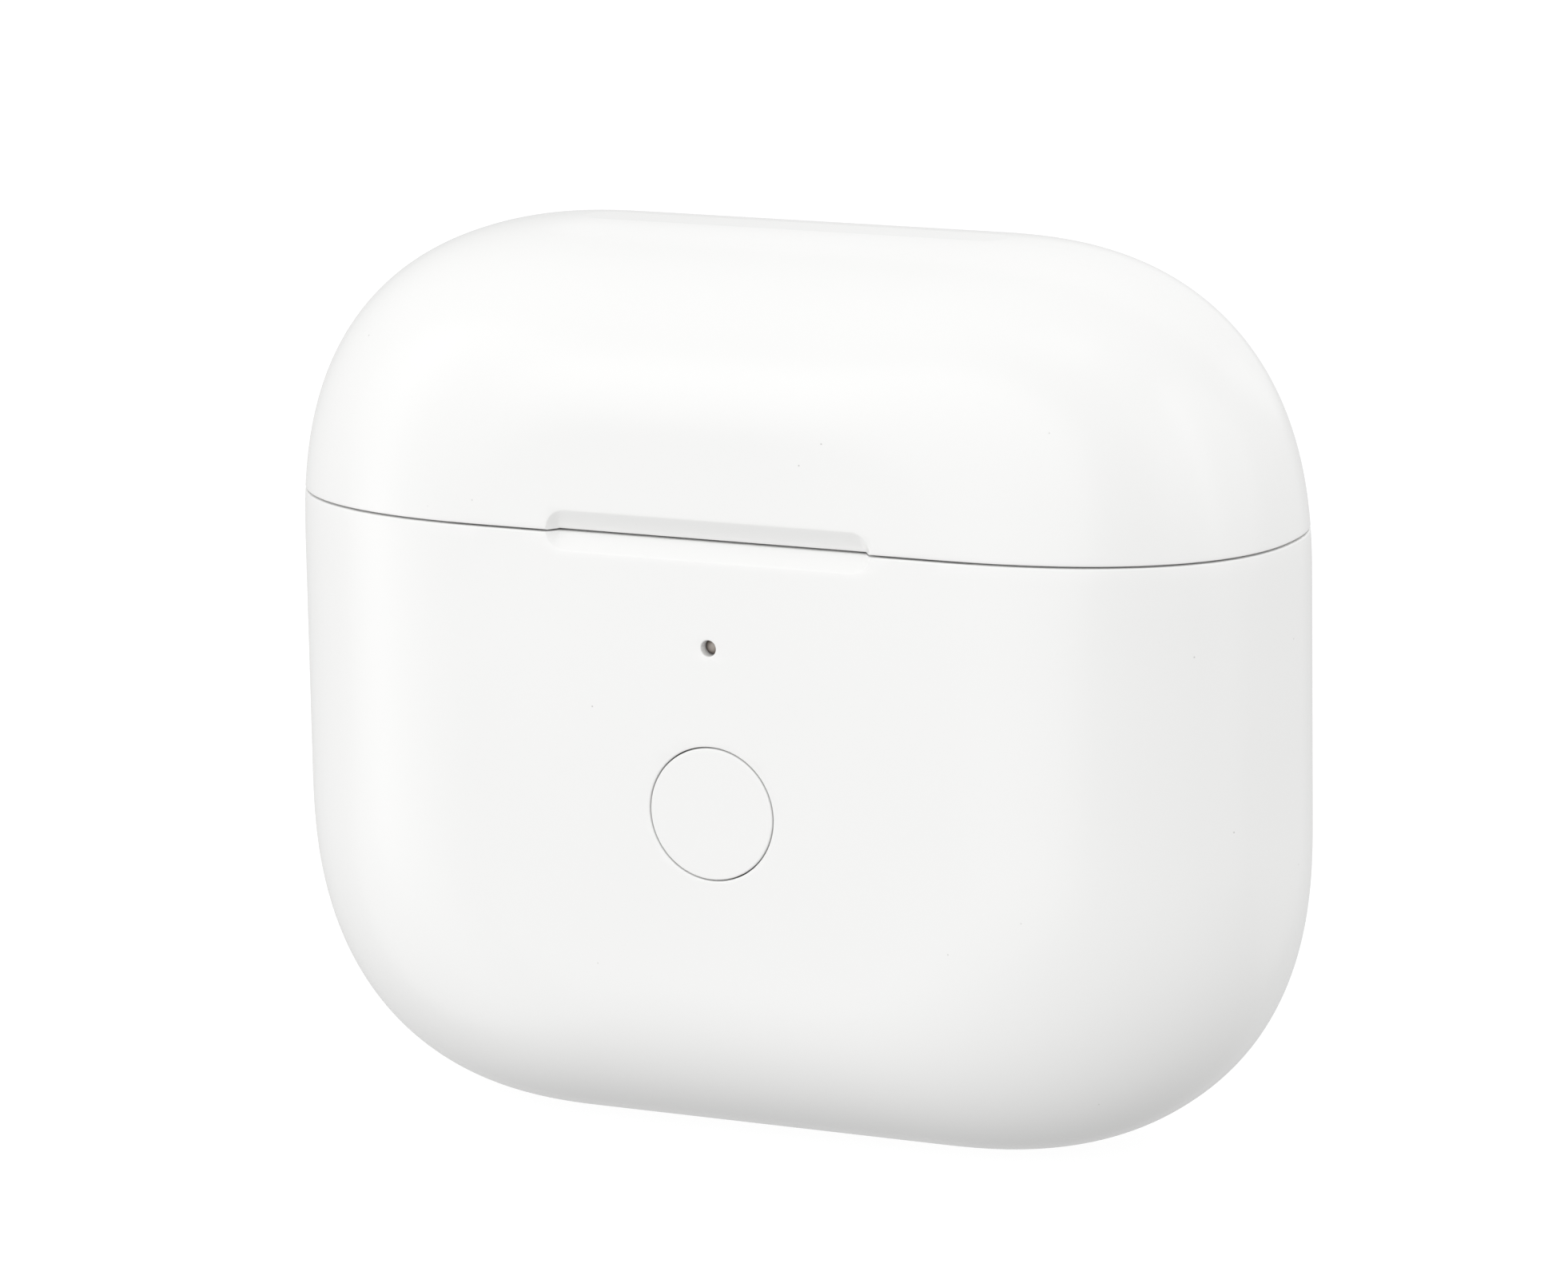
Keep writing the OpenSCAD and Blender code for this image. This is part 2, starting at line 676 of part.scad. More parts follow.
base_shell();
cradle();
led_lens();
led_chip();
hall_sensor();
front_board();
board_bracket();
switch_frame();
switch_dome();
front_flex();
main_board();
board_chips();
socket_shell();
socket_tongue();
socket_contacts();
battery_cell();
battery_tabs();
cell_tape();
charge_coil();
coil_leads();
ferrite_sheet();
magnet_bar(deck_low - 2);  // base_magnet
earbud_magnets();
contact_board(-1);  // contact_board_left
contact_board(1);  // contact_board_right
contact_flex();
pin_barrels();
pin_spring(-1, -1);  // pin_spring_left_front
pin_spring(-1, 1);  // pin_spring_left_back
pin_spring(1, -1);  // pin_spring_right_front
pin_spring(1, 1);  // pin_spring_right_back
hinge_base_leaf();
hinge_pin();
leaf_screws(base_screw_z, 2.2);  // base_leaf_screws
board_screws();
lid_shell();
lid_liner();
magnet_bar(liner_top);  // lid_magnet
hinge_lid_leaf();
leaf_screws(lid_screw_z, 1.8);  // lid_leaf_screws
button_cap();
switch_plunger();
contact_pin(-1, -1);  // pin_left_front
contact_pin(-1, 1);  // pin_left_back
contact_pin(1, -1);  // pin_right_front
contact_pin(1, 1);  // pin_right_back
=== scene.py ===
import math

import bmesh
import bpy
import numpy as np
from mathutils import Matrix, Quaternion, Vector


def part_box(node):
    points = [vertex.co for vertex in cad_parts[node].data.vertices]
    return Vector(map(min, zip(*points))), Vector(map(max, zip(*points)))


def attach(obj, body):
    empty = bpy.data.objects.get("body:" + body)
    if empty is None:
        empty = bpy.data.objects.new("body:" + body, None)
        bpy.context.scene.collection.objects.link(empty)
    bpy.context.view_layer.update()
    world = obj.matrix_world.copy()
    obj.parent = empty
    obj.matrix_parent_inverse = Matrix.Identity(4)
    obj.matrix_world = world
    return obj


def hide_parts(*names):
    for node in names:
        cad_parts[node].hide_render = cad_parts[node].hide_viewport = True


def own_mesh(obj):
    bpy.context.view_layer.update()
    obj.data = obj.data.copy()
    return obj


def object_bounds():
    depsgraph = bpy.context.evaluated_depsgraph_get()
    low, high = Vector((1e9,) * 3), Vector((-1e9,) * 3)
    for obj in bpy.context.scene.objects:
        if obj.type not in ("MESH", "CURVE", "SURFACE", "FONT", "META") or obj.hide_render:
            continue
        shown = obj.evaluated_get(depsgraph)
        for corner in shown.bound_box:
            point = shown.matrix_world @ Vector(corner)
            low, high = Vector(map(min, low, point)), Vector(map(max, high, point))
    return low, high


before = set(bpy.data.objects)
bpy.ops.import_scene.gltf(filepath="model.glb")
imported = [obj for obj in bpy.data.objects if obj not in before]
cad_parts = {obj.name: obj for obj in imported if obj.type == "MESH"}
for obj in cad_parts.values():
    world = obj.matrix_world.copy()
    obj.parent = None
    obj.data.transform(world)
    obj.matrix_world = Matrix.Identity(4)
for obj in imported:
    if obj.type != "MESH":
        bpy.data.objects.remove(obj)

cad_low, cad_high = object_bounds()

# ---------------------------------------------------------------- lower shell
# The lower half of the case: one cup moulded in gloss white polycarbonate, with a
# 1.2 mm wall. The lower half of the thumb notch and the holes for the light, the
# button, the socket and the hinge are moulded in, each with a softly rounded edge.
MM = 0.001
half_w = cad_high.x / MM
half_d = cad_high.y / MM
case_h = cad_high.z / MM
base_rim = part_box("base_shell")[1].z / MM
lid_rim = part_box("lid_shell")[0].z / MM
seam = (base_rim + lid_rim) / 2

WALL = 1.2
RIM_ROUND = 0.09      # radius of the shells' edges at the parting plane
EDGE_ROUND = 0.07     # radius round the small holes
CORNER_R, CORNER_N = 17.1, 2.45      # the front outline's corners: their reach and how full they are
SIDE_ROUND, END_ROUND, ROUND_N = 14.5, 9.1, 2.28      # the rounding to the sides and ends, its fullness
CORNER_TAPER = 0.6      # how far the corners tighten towards the sides
FOOT_TRIM, CROWN_TRIM = 0.15, 0.02      # cut off the form's foot and crown, so that it stands on a flat
half_h = (case_h + FOOT_TRIM + CROWN_TRIM) / 2
mid_z = half_h - FOOT_TRIM
QUARTER, FACE_STEPS = 56, 24      # points along a quarter of a ring, and across its flat face


def half_width(y, h, inset):
    """Half width of the form at depth y and height h above its middle, inset from the skin."""
    share = np.minimum(np.abs(y) / (half_d - inset), 1)
    share = 1 - (1 - share ** ROUND_N) ** (1 / ROUND_N)
    a = half_w - inset - (SIDE_ROUND - inset) * share
    b = half_h - inset - (END_ROUND - inset) * share
    r = CORNER_R - inset - CORNER_TAPER * (SIDE_ROUND - inset) * share
    u = np.clip((abs(h) - (b - r)) / r, 0, 1)
    return a - r + r * (1 - u ** CORNER_N) ** (1 / CORNER_N)


def half_depth(h, inset):
    """Half depth of the form at height h above its middle, inset from the skin."""
    left = min(1, max(0, (half_h - inset - abs(h)) / (END_ROUND - inset)))
    return (half_d - inset) * (1 - (1 - left) ** ROUND_N) ** (1 / ROUND_N)


def skin_ring(z, inset=0.0):
    """One level ring of the form, anticlockwise from the right-hand side."""
    h = z - mid_z
    depth = half_depth(h, inset)
    y = depth * np.sin(np.linspace(0, math.pi / 2, QUARTER + 1)) ** (2 / ROUND_N)
    x = half_width(y, h, inset)
    across = np.linspace(x[-1], -x[-1], FACE_STEPS + 1)[1:-1]
    back_x = np.concatenate([x, across, -x[::-1]])[:-1]
    back_y = np.concatenate([y, np.full(len(across), depth), y[::-1]])[:-1]
    ring = np.array([np.concatenate([back_x, -back_x]), np.concatenate([back_y, -back_y])])
    return np.vstack([ring, np.full(ring.shape[1], z)]).T


def levels(low, high, count):
    """Heights from low to high, closer together near high."""
    return low + (high - low) * np.sin(np.linspace(0, math.pi / 2, count + 1))


def quarter_turn(steps):
    """Sine and one minus cosine along a quarter circle, without its start."""
    angle = np.linspace(0, math.pi / 2, steps + 1)[1:]
    return list(zip(np.sin(angle), 1 - np.cos(angle)))


def solid(name, rings):
    """A closed mesh object through rings of equal length, in millimetres."""
    count = len(rings[0])
    mesh_of_rings = bmesh.new()
    corners = [mesh_of_rings.verts.new(p) for p in np.concatenate(rings) * MM]
    for j in range(len(rings) - 1):
        for i in range(count):
            a, b = j * count + i, j * count + (i + 1) % count
            mesh_of_rings.faces.new([corners[k] for k in (a, b, b + count, a + count)])
    mesh_of_rings.faces.new(corners[:count][::-1])
    mesh_of_rings.faces.new(corners[-count:])
    if mesh_of_rings.calc_volume(signed=True) < 0:
        bmesh.ops.reverse_faces(mesh_of_rings, faces=mesh_of_rings.faces)
    mesh = bpy.data.meshes.new(name)
    mesh_of_rings.to_mesh(mesh)
    mesh_of_rings.free()
    piece = bpy.data.objects.new(name, mesh)
    bpy.context.scene.collection.objects.link(piece)
    return piece


def rounded_outline(half_u, half_v, corner, steps=10):
    """A rectangle with rounded corners about the origin, anticlockwise."""
    angle = np.linspace(0, math.pi / 2, steps + 1)
    points = []
    for k, (su, sv) in enumerate([(1, 1), (-1, 1), (-1, -1), (1, -1)]):
        turn = angle + k * math.pi / 2
        points.append(np.c_[su * (half_u - corner) + corner * np.cos(turn),
                            sv * (half_v - corner) + corner * np.sin(turn)])
    return np.concatenate(points)


def across_y(outline, y, z):
    """Puts an outline upright, facing front, at depth y with its middle at height z."""
    return np.c_[outline[:, 0], np.full(len(outline), y), outline[:, 1] + z]


def mouth(outline_at, edge, inwards, radius):
    """Outlines of a hole's mouth, from outside the surface to the end of its rounded edge.
    outline_at(grow, place) gives the outline grown by that much, at that place."""
    def on_edge(turn, beyond=0.0):
        depth = radius * (1 - math.cos(turn)) - beyond * math.tan(turn)
        return outline_at(radius * (1 - math.sin(turn)) + beyond, edge + inwards * depth)

    turns = np.radians([8, 22, 38, 54, 72, 90])
    return [on_edge(turns[0], 0.6)] + [on_edge(turn) for turn in turns]


def round_hole(z, bore, inner_y):
    """A round cutter through the front face, with a rounded mouth."""
    turn = np.linspace(0, 2 * math.pi, 97)[:-1]

    def outline_at(grow, y):
        return across_y(np.c_[np.cos(turn), np.sin(turn)] * (bore + grow), y, z)

    return solid("round_hole", mouth(outline_at, -half_d, 1, EDGE_ROUND) + [outline_at(0, inner_y)])


def change_solid(piece, others, operation):
    """Cuts other closed solids out of a piece, or joins them to it, and takes them away."""
    for other in others:
        step = piece.modifiers.new("solid", "BOOLEAN")
        step.operation = operation
        step.solver = "MANIFOLD"
        step.object = other
    settled = piece.evaluated_get(bpy.context.evaluated_depsgraph_get())
    mesh = bpy.data.meshes.new_from_object(settled)
    piece.modifiers.clear()
    piece.data = mesh
    for other in others:
        bpy.data.objects.remove(other)
    return piece


def smooth(piece, sharp_above=32):
    """Smooth shading with true edges kept sharp, weighted by each face's area."""
    piece.data.shade_smooth()
    piece.data.set_sharp_from_angle(angle=math.radians(sharp_above))
    evened = piece.modifiers.new("even shading", "WEIGHTED_NORMAL")
    evened.keep_sharp = True
    evened.weight = 100
    return piece


def notch_cutter():
    """The thumb notch: a wide shallow V with steep round ends, deepest at the parting plane."""
    wide, up, down, deep, soft = 18, 1.15, 1.0, 0.6, 0.05
    slant, rim = 0.45, 0.17
    tall = (up + down) / 2
    slope = deep / (math.hypot(tall, soft) - soft)

    def outline_at(into, y):
        middle = seam + (up - down) / 2 * (1 - into / tall)
        return across_y(rounded_outline(wide / 2 - into * slant, tall - into, tall - into), y, middle)

    rows = [outline_at(-0.6, -half_d - 0.1)]
    for into in np.linspace(0.03, tall - rim, 14):
        rows.append(outline_at(into, -half_d + slope * (math.hypot(into, soft) - soft)))
    for sine, rise in quarter_turn(5):
        into = tall - rim + 0.12 * sine
        rows.append(outline_at(into, -half_d + slope * (math.hypot(into, soft) - soft) + 0.1 * rise))
    rows.append(outline_at(tall - 0.05, -half_d + deep + 0.9))
    return solid("notch", rows)


def hinge_window_cutter():
    """The opening through both shells' backs that the hinge leaves fill."""
    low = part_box("hinge_base_leaf")[0]
    half = -low.x / MM + 0.06
    up, down, corner = 2.75, 2.7, 0.85
    tall = (up + down) / 2

    def outline_at(grow, y):
        outline = rounded_outline(half + grow, tall + grow, corner + grow)
        return across_y(outline, y, seam + (up - down) / 2)

    return solid("hinge_window", mouth(outline_at, half_d, -1, EDGE_ROUND)
                 + [outline_at(0, half_d - WALL - 0.9)])


def socket_slot_cutter():
    """The slot in the foot for the charging socket."""
    wide, deep = 9.3, 3.5

    def outline_at(grow, z):
        outline = rounded_outline(wide / 2 + grow, deep / 2 + grow, deep / 2 + grow)
        return np.c_[outline, np.full(len(outline), z)]

    return solid("socket_slot", mouth(outline_at, 0, 1, 0.16) + [outline_at(0, WALL + 0.5)])


led_low, led_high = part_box("led_lens")
led_z = (led_low.z + led_high.z) / 2 / MM
cap_low, cap_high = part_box("button_cap")
button_z = (cap_low.z + cap_high.z) / 2 / MM
LED_R = 0.41
BUTTON_R, BUTTON_GAP = 3.38, 0.07

skin = [skin_ring(base_rim - RIM_ROUND - z) for z in levels(0, base_rim - RIM_ROUND, 88)][::-1]
for sine, rise in quarter_turn(6):
    skin.append(skin_ring(base_rim - RIM_ROUND + RIM_ROUND * sine, RIM_ROUND * rise))
for sine, rise in quarter_turn(3):
    skin.append(skin_ring(base_rim - EDGE_ROUND * rise, WALL - EDGE_ROUND + EDGE_ROUND * sine))
lining = [skin_ring(base_rim - EDGE_ROUND - z, WALL)
          for z in levels(0, base_rim - EDGE_ROUND - WALL, 24)[1:]]
lower_shell = solid("lower_shell", skin + lining)
change_solid(lower_shell, [
    notch_cutter(), hinge_window_cutter(), socket_slot_cutter(),
    round_hole(led_z, LED_R, -half_d + 2), round_hole(button_z, BUTTON_R + BUTTON_GAP, -half_d + 2),
], "DIFFERENCE")
smooth(lower_shell)


def colour(code):
    """Linear colour from an sRGB hex code."""
    shares = [int(code[i:i + 2], 16) / 255 for i in (1, 3, 5)]
    return (*[c / 12.92 if c <= 0.04045 else ((c + 0.055) / 1.055) ** 2.4 for c in shares], 1)


def per_mm(size):
    """Texture scale for a pattern whose repeat is that many millimetres."""
    return 1 / (size * MM)


def add_node(tree, kind, settings, inputs):
    """Adds a node. Inputs are numbers, colours or other nodes' outputs, by socket name or place."""
    node = tree.nodes.new(kind)
    for name, value in settings.items():
        setattr(node, name, value)
    for name, value in inputs.items():
        if isinstance(value, bpy.types.NodeSocket):
            tree.links.new(value, node.inputs[name])
        else:
            node.inputs[name].default_value = value
    return node


def new_material(name, shown):
    """A material with only its output node; shown is its colour in a solid view."""
    material = bpy.data.materials.new(name)
    material.use_nodes = True
    material.node_tree.nodes.clear()
    material.diffuse_color = shown
    return material, material.node_tree


def finish_surface(tree, inputs):
    """The surface shader and the output of a material."""
    shader = add_node(tree, "ShaderNodeBsdfPrincipled", {}, inputs)
    add_node(tree, "ShaderNodeOutputMaterial", {}, {"Surface": shader.outputs["BSDF"]})


def moulded_white(name, code, gloss, peel):
    """White polycarbonate. The eye sees an even, near-neutral white with a soft gloss, a very
    slight unevenness of the moulded skin, and a few fine specks and rub marks from use.
    The skin's grain is drawn coarser than a real one, so that it shows."""
    material, tree = new_material(name, colour(code))
    place = add_node(tree, "ShaderNodeTexCoord", {}, {}).outputs["Object"]
    flow = add_node(tree, "ShaderNodeTexNoise", {}, {
        "Vector": place, "Scale": per_mm(14), "Detail": 1.5, "Roughness": 0.4})
    tint = add_node(tree, "ShaderNodeMix", {"data_type": "RGBA"}, {
        0: flow.outputs["Fac"], 6: colour(code), 7: colour("#F4F4F3")})
    grain = add_node(tree, "ShaderNodeTexVoronoi", {"feature": "DISTANCE_TO_EDGE"}, {
        "Vector": place, "Scale": per_mm(0.9), "Randomness": 1.0})
    rub = add_node(tree, "ShaderNodeTexNoise", {}, {
        "Vector": place, "Scale": per_mm(1.7), "Detail": 4.0, "Roughness": 0.65})
    dull = add_node(tree, "ShaderNodeMapRange", {}, {
        "Value": rub.outputs["Fac"], 1: 0.3, 2: 0.8, 3: gloss, 4: gloss + 0.012})
    cells = add_node(tree, "ShaderNodeTexVoronoi", {"feature": "F1"}, {
        "Vector": place, "Scale": per_mm(1.3), "Randomness": 1.0})
    lot = add_node(tree, "ShaderNodeSeparateColor", {}, {0: cells.outputs["Color"]})
    rare = add_node(tree, "ShaderNodeMapRange", {}, {
        "Value": lot.outputs[0], 1: 0.86, 2: 0.95, 3: 0.0, 4: 0.5})
    speck = add_node(tree, "ShaderNodeMapRange", {"interpolation_type": "SMOOTHSTEP"}, {
        "Value": cells.outputs["Distance"], 1: 0.02, 2: 0.05, 3: 1.0, 4: 0.0})
    seen_speck = add_node(tree, "ShaderNodeMath", {"operation": "MULTIPLY"}, {
        0: rare.outputs[0], 1: speck.outputs[0]})
    worn = add_node(tree, "ShaderNodeMix", {"data_type": "RGBA"}, {
        0: seen_speck.outputs[0], 6: tint.outputs[2], 7: colour("#A3A19E")})
    skin_peel = add_node(tree, "ShaderNodeTexNoise", {}, {
        "Vector": place, "Scale": per_mm(peel), "Detail": 2.0})
    fine = add_node(tree, "ShaderNodeMath", {"operation": "MULTIPLY_ADD"}, {
        0: grain.outputs["Distance"], 1: 0.15, 2: skin_peel.outputs["Fac"]})
    bump = add_node(tree, "ShaderNodeBump", {}, {
        "Height": fine.outputs[0], "Strength": 0.35, "Distance": 0.002 * MM})
    finish_surface(tree, {
        "Base Color": worn.outputs[2], "Roughness": dull.outputs[0], "Normal": bump.outputs[0],
        "IOR": 1.58, "Specular IOR Level": 0.5})
    return material


# Gloss white polycarbonate, injection moulded in a polished tool.
gloss_white = moulded_white("gloss white moulded polycarbonate", "#F1F1F0", 0.24, 3.2)


def dress(piece, material, body, slot, *nodes):
    """Gives a finished piece its one material and its body, and hides the nodes it stands for. The slot
    argument is not used.
    """
    piece.data.materials.clear()
    piece.data.materials.append(material)
    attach(piece, body)
    if nodes:
        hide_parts(*nodes)


dress(lower_shell, gloss_white, "base", "shell_white", "base_shell")

# ---------------------------------------------------------------- pairing button
# A round cap moulded in the same white, flush in the front face with a hairline gap
# all round. A flange behind the wall keeps it in.


def turned_y(name, profile, x, z, steps=96):
    """A closed solid turned about a line along Y at x, z. The profile is (radius, y) pairs."""
    turn = np.linspace(0, 2 * math.pi, steps + 1)[:-1]
    circle = np.c_[np.cos(turn), np.sin(turn)]
    return solid(name, [across_y(circle * r, y, z) + np.array([x, 0, 0]) for r, y in profile])


flange_y = cap_high.y / MM
flange_r = (cap_high.x - cap_low.x) / 2 / MM
button_profile = [(0.4, -half_d), (BUTTON_R * 0.6, -half_d), (BUTTON_R - 2 * EDGE_ROUND, -half_d)]
button_profile += [(BUTTON_R - EDGE_ROUND + EDGE_ROUND * s, -half_d + EDGE_ROUND * r)
                   for s, r in [(0, 0)] + quarter_turn(6)]
button_profile += [(BUTTON_R, flange_y - 0.3), (flange_r, flange_y - 0.3), (flange_r, flange_y)]
pairing_button = turned_y("pairing_button", button_profile, 0, button_z)
dress(smooth(pairing_button), gloss_white, "button", "shell_white", "button_cap")

# ---------------------------------------------------------------- status light
# A smoked, clear moulded pipe that ends in a small dome inside the pinhole. It is
# glued behind the front wall by its flange and carries the lamp's light out.
lens_front = led_low.y / MM
lens_flange_r = (led_high.x - led_low.x) / 2 / MM
DOME = 0.12
lens_profile = [(LED_R * share, lens_front + DOME * share ** 2)
                for share in (0.08, 0.3, 0.5, 0.7, 0.85, 0.93)]
lens_profile += [(LED_R - 0.03, -half_d + WALL + 0.05), (lens_flange_r, -half_d + WALL + 0.05),
                 (lens_flange_r, led_high.y / MM)]
light_pipe = turned_y("light_pipe", lens_profile, 0, led_z, 48)

# Smoked acrylic: brown-grey and glossy, with a painted glow: its colour is lighter at its middle, standing in
# for light that comes through.
smoked_acrylic, tree = new_material("smoked clear acrylic", colour("#6E625A"))
place = add_node(tree, "ShaderNodeTexCoord", {}, {}).outputs["Object"]
to_axis = add_node(tree, "ShaderNodeVectorMath", {"operation": "MULTIPLY_ADD"}, {
    0: place, 1: (1, 0, 1), 2: (0, 0, -led_z * MM)})
from_axis = add_node(tree, "ShaderNodeVectorMath", {"operation": "LENGTH"}, {0: to_axis.outputs[0]})
rim_share = add_node(tree, "ShaderNodeMapRange", {"interpolation_type": "SMOOTHSTEP"}, {
    "Value": from_axis.outputs["Value"], 1: 0.08 * MM, 2: LED_R * MM, 3: 0.0, 4: 1.0})
# Painted glow: the colour is lighter at the pipe's middle and the real smoked brown-grey towards its rim.
smoke_and_painted_glow = add_node(tree, "ShaderNodeMix", {"data_type": "RGBA"}, {
    0: rim_share.outputs[0], 6: colour("#A39A92"), 7: colour("#4A413B")})
haze = add_node(tree, "ShaderNodeTexNoise", {}, {"Vector": place, "Scale": per_mm(0.3), "Detail": 3.0})
gloss = add_node(tree, "ShaderNodeMapRange", {}, {"Value": haze.outputs["Fac"], 3: 0.08, 4: 0.2})
finish_surface(tree, {"Base Color": smoke_and_painted_glow.outputs[2], "Roughness": gloss.outputs[0],
                      "IOR": 1.49, "Coat Weight": 0.5})
dress(smooth(light_pipe), smoked_acrylic, "base", "smoked_lens", "led_lens")


def merged_copy(node, name):
    """A CAD node's mesh with its loose triangles merged and its flat areas joined, as a new object."""
    merged = bmesh.new()
    merged.from_mesh(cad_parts[node].data)
    bmesh.ops.remove_doubles(merged, verts=merged.verts, dist=0.0005 * MM)
    bmesh.ops.dissolve_limit(merged, angle_limit=math.radians(0.3), verts=merged.verts, edges=merged.edges)
    mesh = bpy.data.meshes.new(name)
    merged.to_mesh(mesh)
    merged.free()
    piece = bpy.data.objects.new(name, mesh)
    bpy.context.scene.collection.objects.link(piece)
    return piece


def eased(node, name, edge, steps=2):
    """A merged copy whose corners are eased by that many millimetres, as a real part's are."""
    piece = merged_copy(node, name)
    ease = piece.modifiers.new("eased edges", "BEVEL")
    ease.width = edge * MM
    ease.segments = steps
    ease.limit_method = "ANGLE"
    ease.angle_limit = math.radians(40)
    return smooth(piece)


# The lamp behind the pipe: cast epoxy over phosphor, pale yellow and slightly cloudy.
lamp_epoxy, tree = new_material("cast lamp epoxy", colour("#E9DFA8"))
place = add_node(tree, "ShaderNodeTexCoord", {}, {}).outputs["Object"]
cloud = add_node(tree, "ShaderNodeTexNoise", {}, {"Vector": place, "Scale": per_mm(0.25), "Detail": 3.0})
phosphor = add_node(tree, "ShaderNodeMix", {"data_type": "RGBA"}, {
    0: cloud.outputs["Fac"], 6: colour("#F1EBC8"), 7: colour("#E2D38C")})
finish_surface(tree, {"Base Color": phosphor.outputs[2], "Roughness": 0.3, "IOR": 1.52})
dress(eased("led_chip", "lamp", 0.05), lamp_epoxy, "base", "lamp_epoxy", "led_chip")

# ---------------------------------------------------------------- switch and front board
# The push switch behind the button: a pressed steel frame, a moulded plunger and a snap
# dome, soldered to a small board that a folded steel bracket holds off the front wall.


def worked_metal(name, code, rough, line_mm, along, bite):
    """Bare or plated metal: fine tool marks run along one axis, and the tone shifts a little.
    The marks are drawn coarser than real ones, so that they show."""
    material, tree = new_material(name, colour(code))
    place = add_node(tree, "ShaderNodeTexCoord", {}, {}).outputs["Object"]
    stretch = [per_mm(line_mm)] * 3
    stretch["xyz".index(along)] = per_mm(line_mm * 40)
    lay = add_node(tree, "ShaderNodeMapping", {}, {"Vector": place, "Scale": stretch})
    marks = add_node(tree, "ShaderNodeTexNoise", {}, {
        "Vector": lay.outputs[0], "Scale": 1.0, "Detail": 5.0, "Roughness": 0.6})
    blotch = add_node(tree, "ShaderNodeTexNoise", {}, {
        "Vector": place, "Scale": per_mm(1.8), "Detail": 2.0})
    dark = [c * 0.82 for c in colour(code)[:3]] + [1]
    tone = add_node(tree, "ShaderNodeMix", {"data_type": "RGBA"}, {
        0: blotch.outputs["Fac"], 6: dark, 7: colour(code)})
    dull = add_node(tree, "ShaderNodeMapRange", {}, {
        "Value": marks.outputs["Fac"], 1: 0.25, 2: 0.75, 3: rough * 0.75, 4: rough * 1.3})
    bump = add_node(tree, "ShaderNodeBump", {}, {
        "Height": marks.outputs["Fac"], "Strength": 0.5, "Distance": bite * MM})
    finish_surface(tree, {"Base Color": tone.outputs[2], "Roughness": dull.outputs[0],
                          "Metallic": 1.0, "Normal": bump.outputs[0]})
    return material


# Pressed tin-plated steel: bright and slightly soft, with drawing lines up its height.
tinned_steel = worked_metal("pressed tin-plated steel", "#C9C7C2", 0.28, 0.05, "z", 0.001)
dress(eased("switch_frame", "switch_frame_pressing", 0.06), tinned_steel, "base", "steel", "switch_frame")
dress(eased("board_bracket", "board_bracket_folding", 0.08), tinned_steel, "base", "steel", "board_bracket")

dome_low, dome_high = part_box("switch_dome")
dome_r = (dome_high.x - dome_low.x) / 2 / MM
dome_back, dome_rise, dome_wall = dome_high.y / MM, 0.16, 0.05
dome_profile = [(dome_r * share, dome_back - dome_wall - dome_rise * math.cos(share * math.pi / 2))
                for share in np.linspace(0.05, 1, 12)]
dome_profile += [(dome_r * share, dome_back - dome_rise * math.cos(share * math.pi / 2))
                 for share in np.linspace(1, 0.05, 12)]
snap_dome = smooth(turned_y("snap_dome", dome_profile, 0, button_z, 48))
dress(snap_dome, tinned_steel, "base", "steel", "switch_dome")
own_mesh(snap_dome)


def moulded_dark(name, code, rough, grain_mm):
    """Dark moulded plastic or encapsulant with a fine spark-eroded grain."""
    material, tree = new_material(name, colour(code))
    place = add_node(tree, "ShaderNodeTexCoord", {}, {}).outputs["Object"]
    grain = add_node(tree, "ShaderNodeTexNoise", {}, {
        "Vector": place, "Scale": per_mm(grain_mm), "Detail": 4.0})
    light = [min(1, c * 1.5 + 0.004) for c in colour(code)[:3]] + [1]
    tone = add_node(tree, "ShaderNodeMix", {"data_type": "RGBA"}, {
        0: grain.outputs["Fac"], 6: colour(code), 7: light})
    dull = add_node(tree, "ShaderNodeMapRange", {}, {
        "Value": grain.outputs["Fac"], 3: rough - 0.08, 4: rough + 0.08})
    bump = add_node(tree, "ShaderNodeBump", {}, {
        "Height": grain.outputs["Fac"], "Strength": 0.4, "Distance": 0.004 * MM})
    finish_surface(tree, {"Base Color": tone.outputs[2], "Roughness": dull.outputs[0],
                          "Normal": bump.outputs[0], "IOR": 1.55})
    return material


# Black liquid-crystal polymer: near black and satin, with a fine eroded grain.
black_polymer = moulded_dark("black moulded liquid-crystal polymer", "#17181A", 0.42, 0.12)
dress(eased("switch_plunger", "switch_plunger_moulding", 0.06), black_polymer,
      "button", "black_plastic", "switch_plunger")

# Black epoxy encapsulant: charcoal and matt, as chip packages are.
chip_epoxy = moulded_dark("black chip encapsulant", "#222326", 0.55, 0.07)
dress(eased("hall_sensor", "lid_sensor", 0.05), chip_epoxy, "base", "chip_black", "hall_sensor")

# Green solder mask on glass epoxy: thin gloss lacquer with paler tracks showing through.
solder_mask, tree = new_material("green solder mask", colour("#1E5A36"))
place = add_node(tree, "ShaderNodeTexCoord", {}, {}).outputs["Object"]
tracks = add_node(tree, "ShaderNodeTexVoronoi", {"distance": "MANHATTAN", "feature": "DISTANCE_TO_EDGE"}, {
    "Vector": place, "Scale": per_mm(1.6), "Randomness": 0.75})
on_track = add_node(tree, "ShaderNodeMapRange", {"interpolation_type": "SMOOTHSTEP"}, {
    "Value": tracks.outputs["Distance"], 1: 0.05, 2: 0.09, 3: 1.0, 4: 0.0})
lacquer = add_node(tree, "ShaderNodeMix", {"data_type": "RGBA"}, {
    0: on_track.outputs[0], 6: colour("#174A2C"), 7: colour("#2C7A4B")})
bump = add_node(tree, "ShaderNodeBump", {}, {
    "Height": on_track.outputs[0], "Strength": 0.6, "Distance": 0.02 * MM})
finish_surface(tree, {"Base Color": lacquer.outputs[2], "Roughness": 0.3, "IOR": 1.5,
                      "Coat Weight": 0.4, "Normal": bump.outputs[0]})
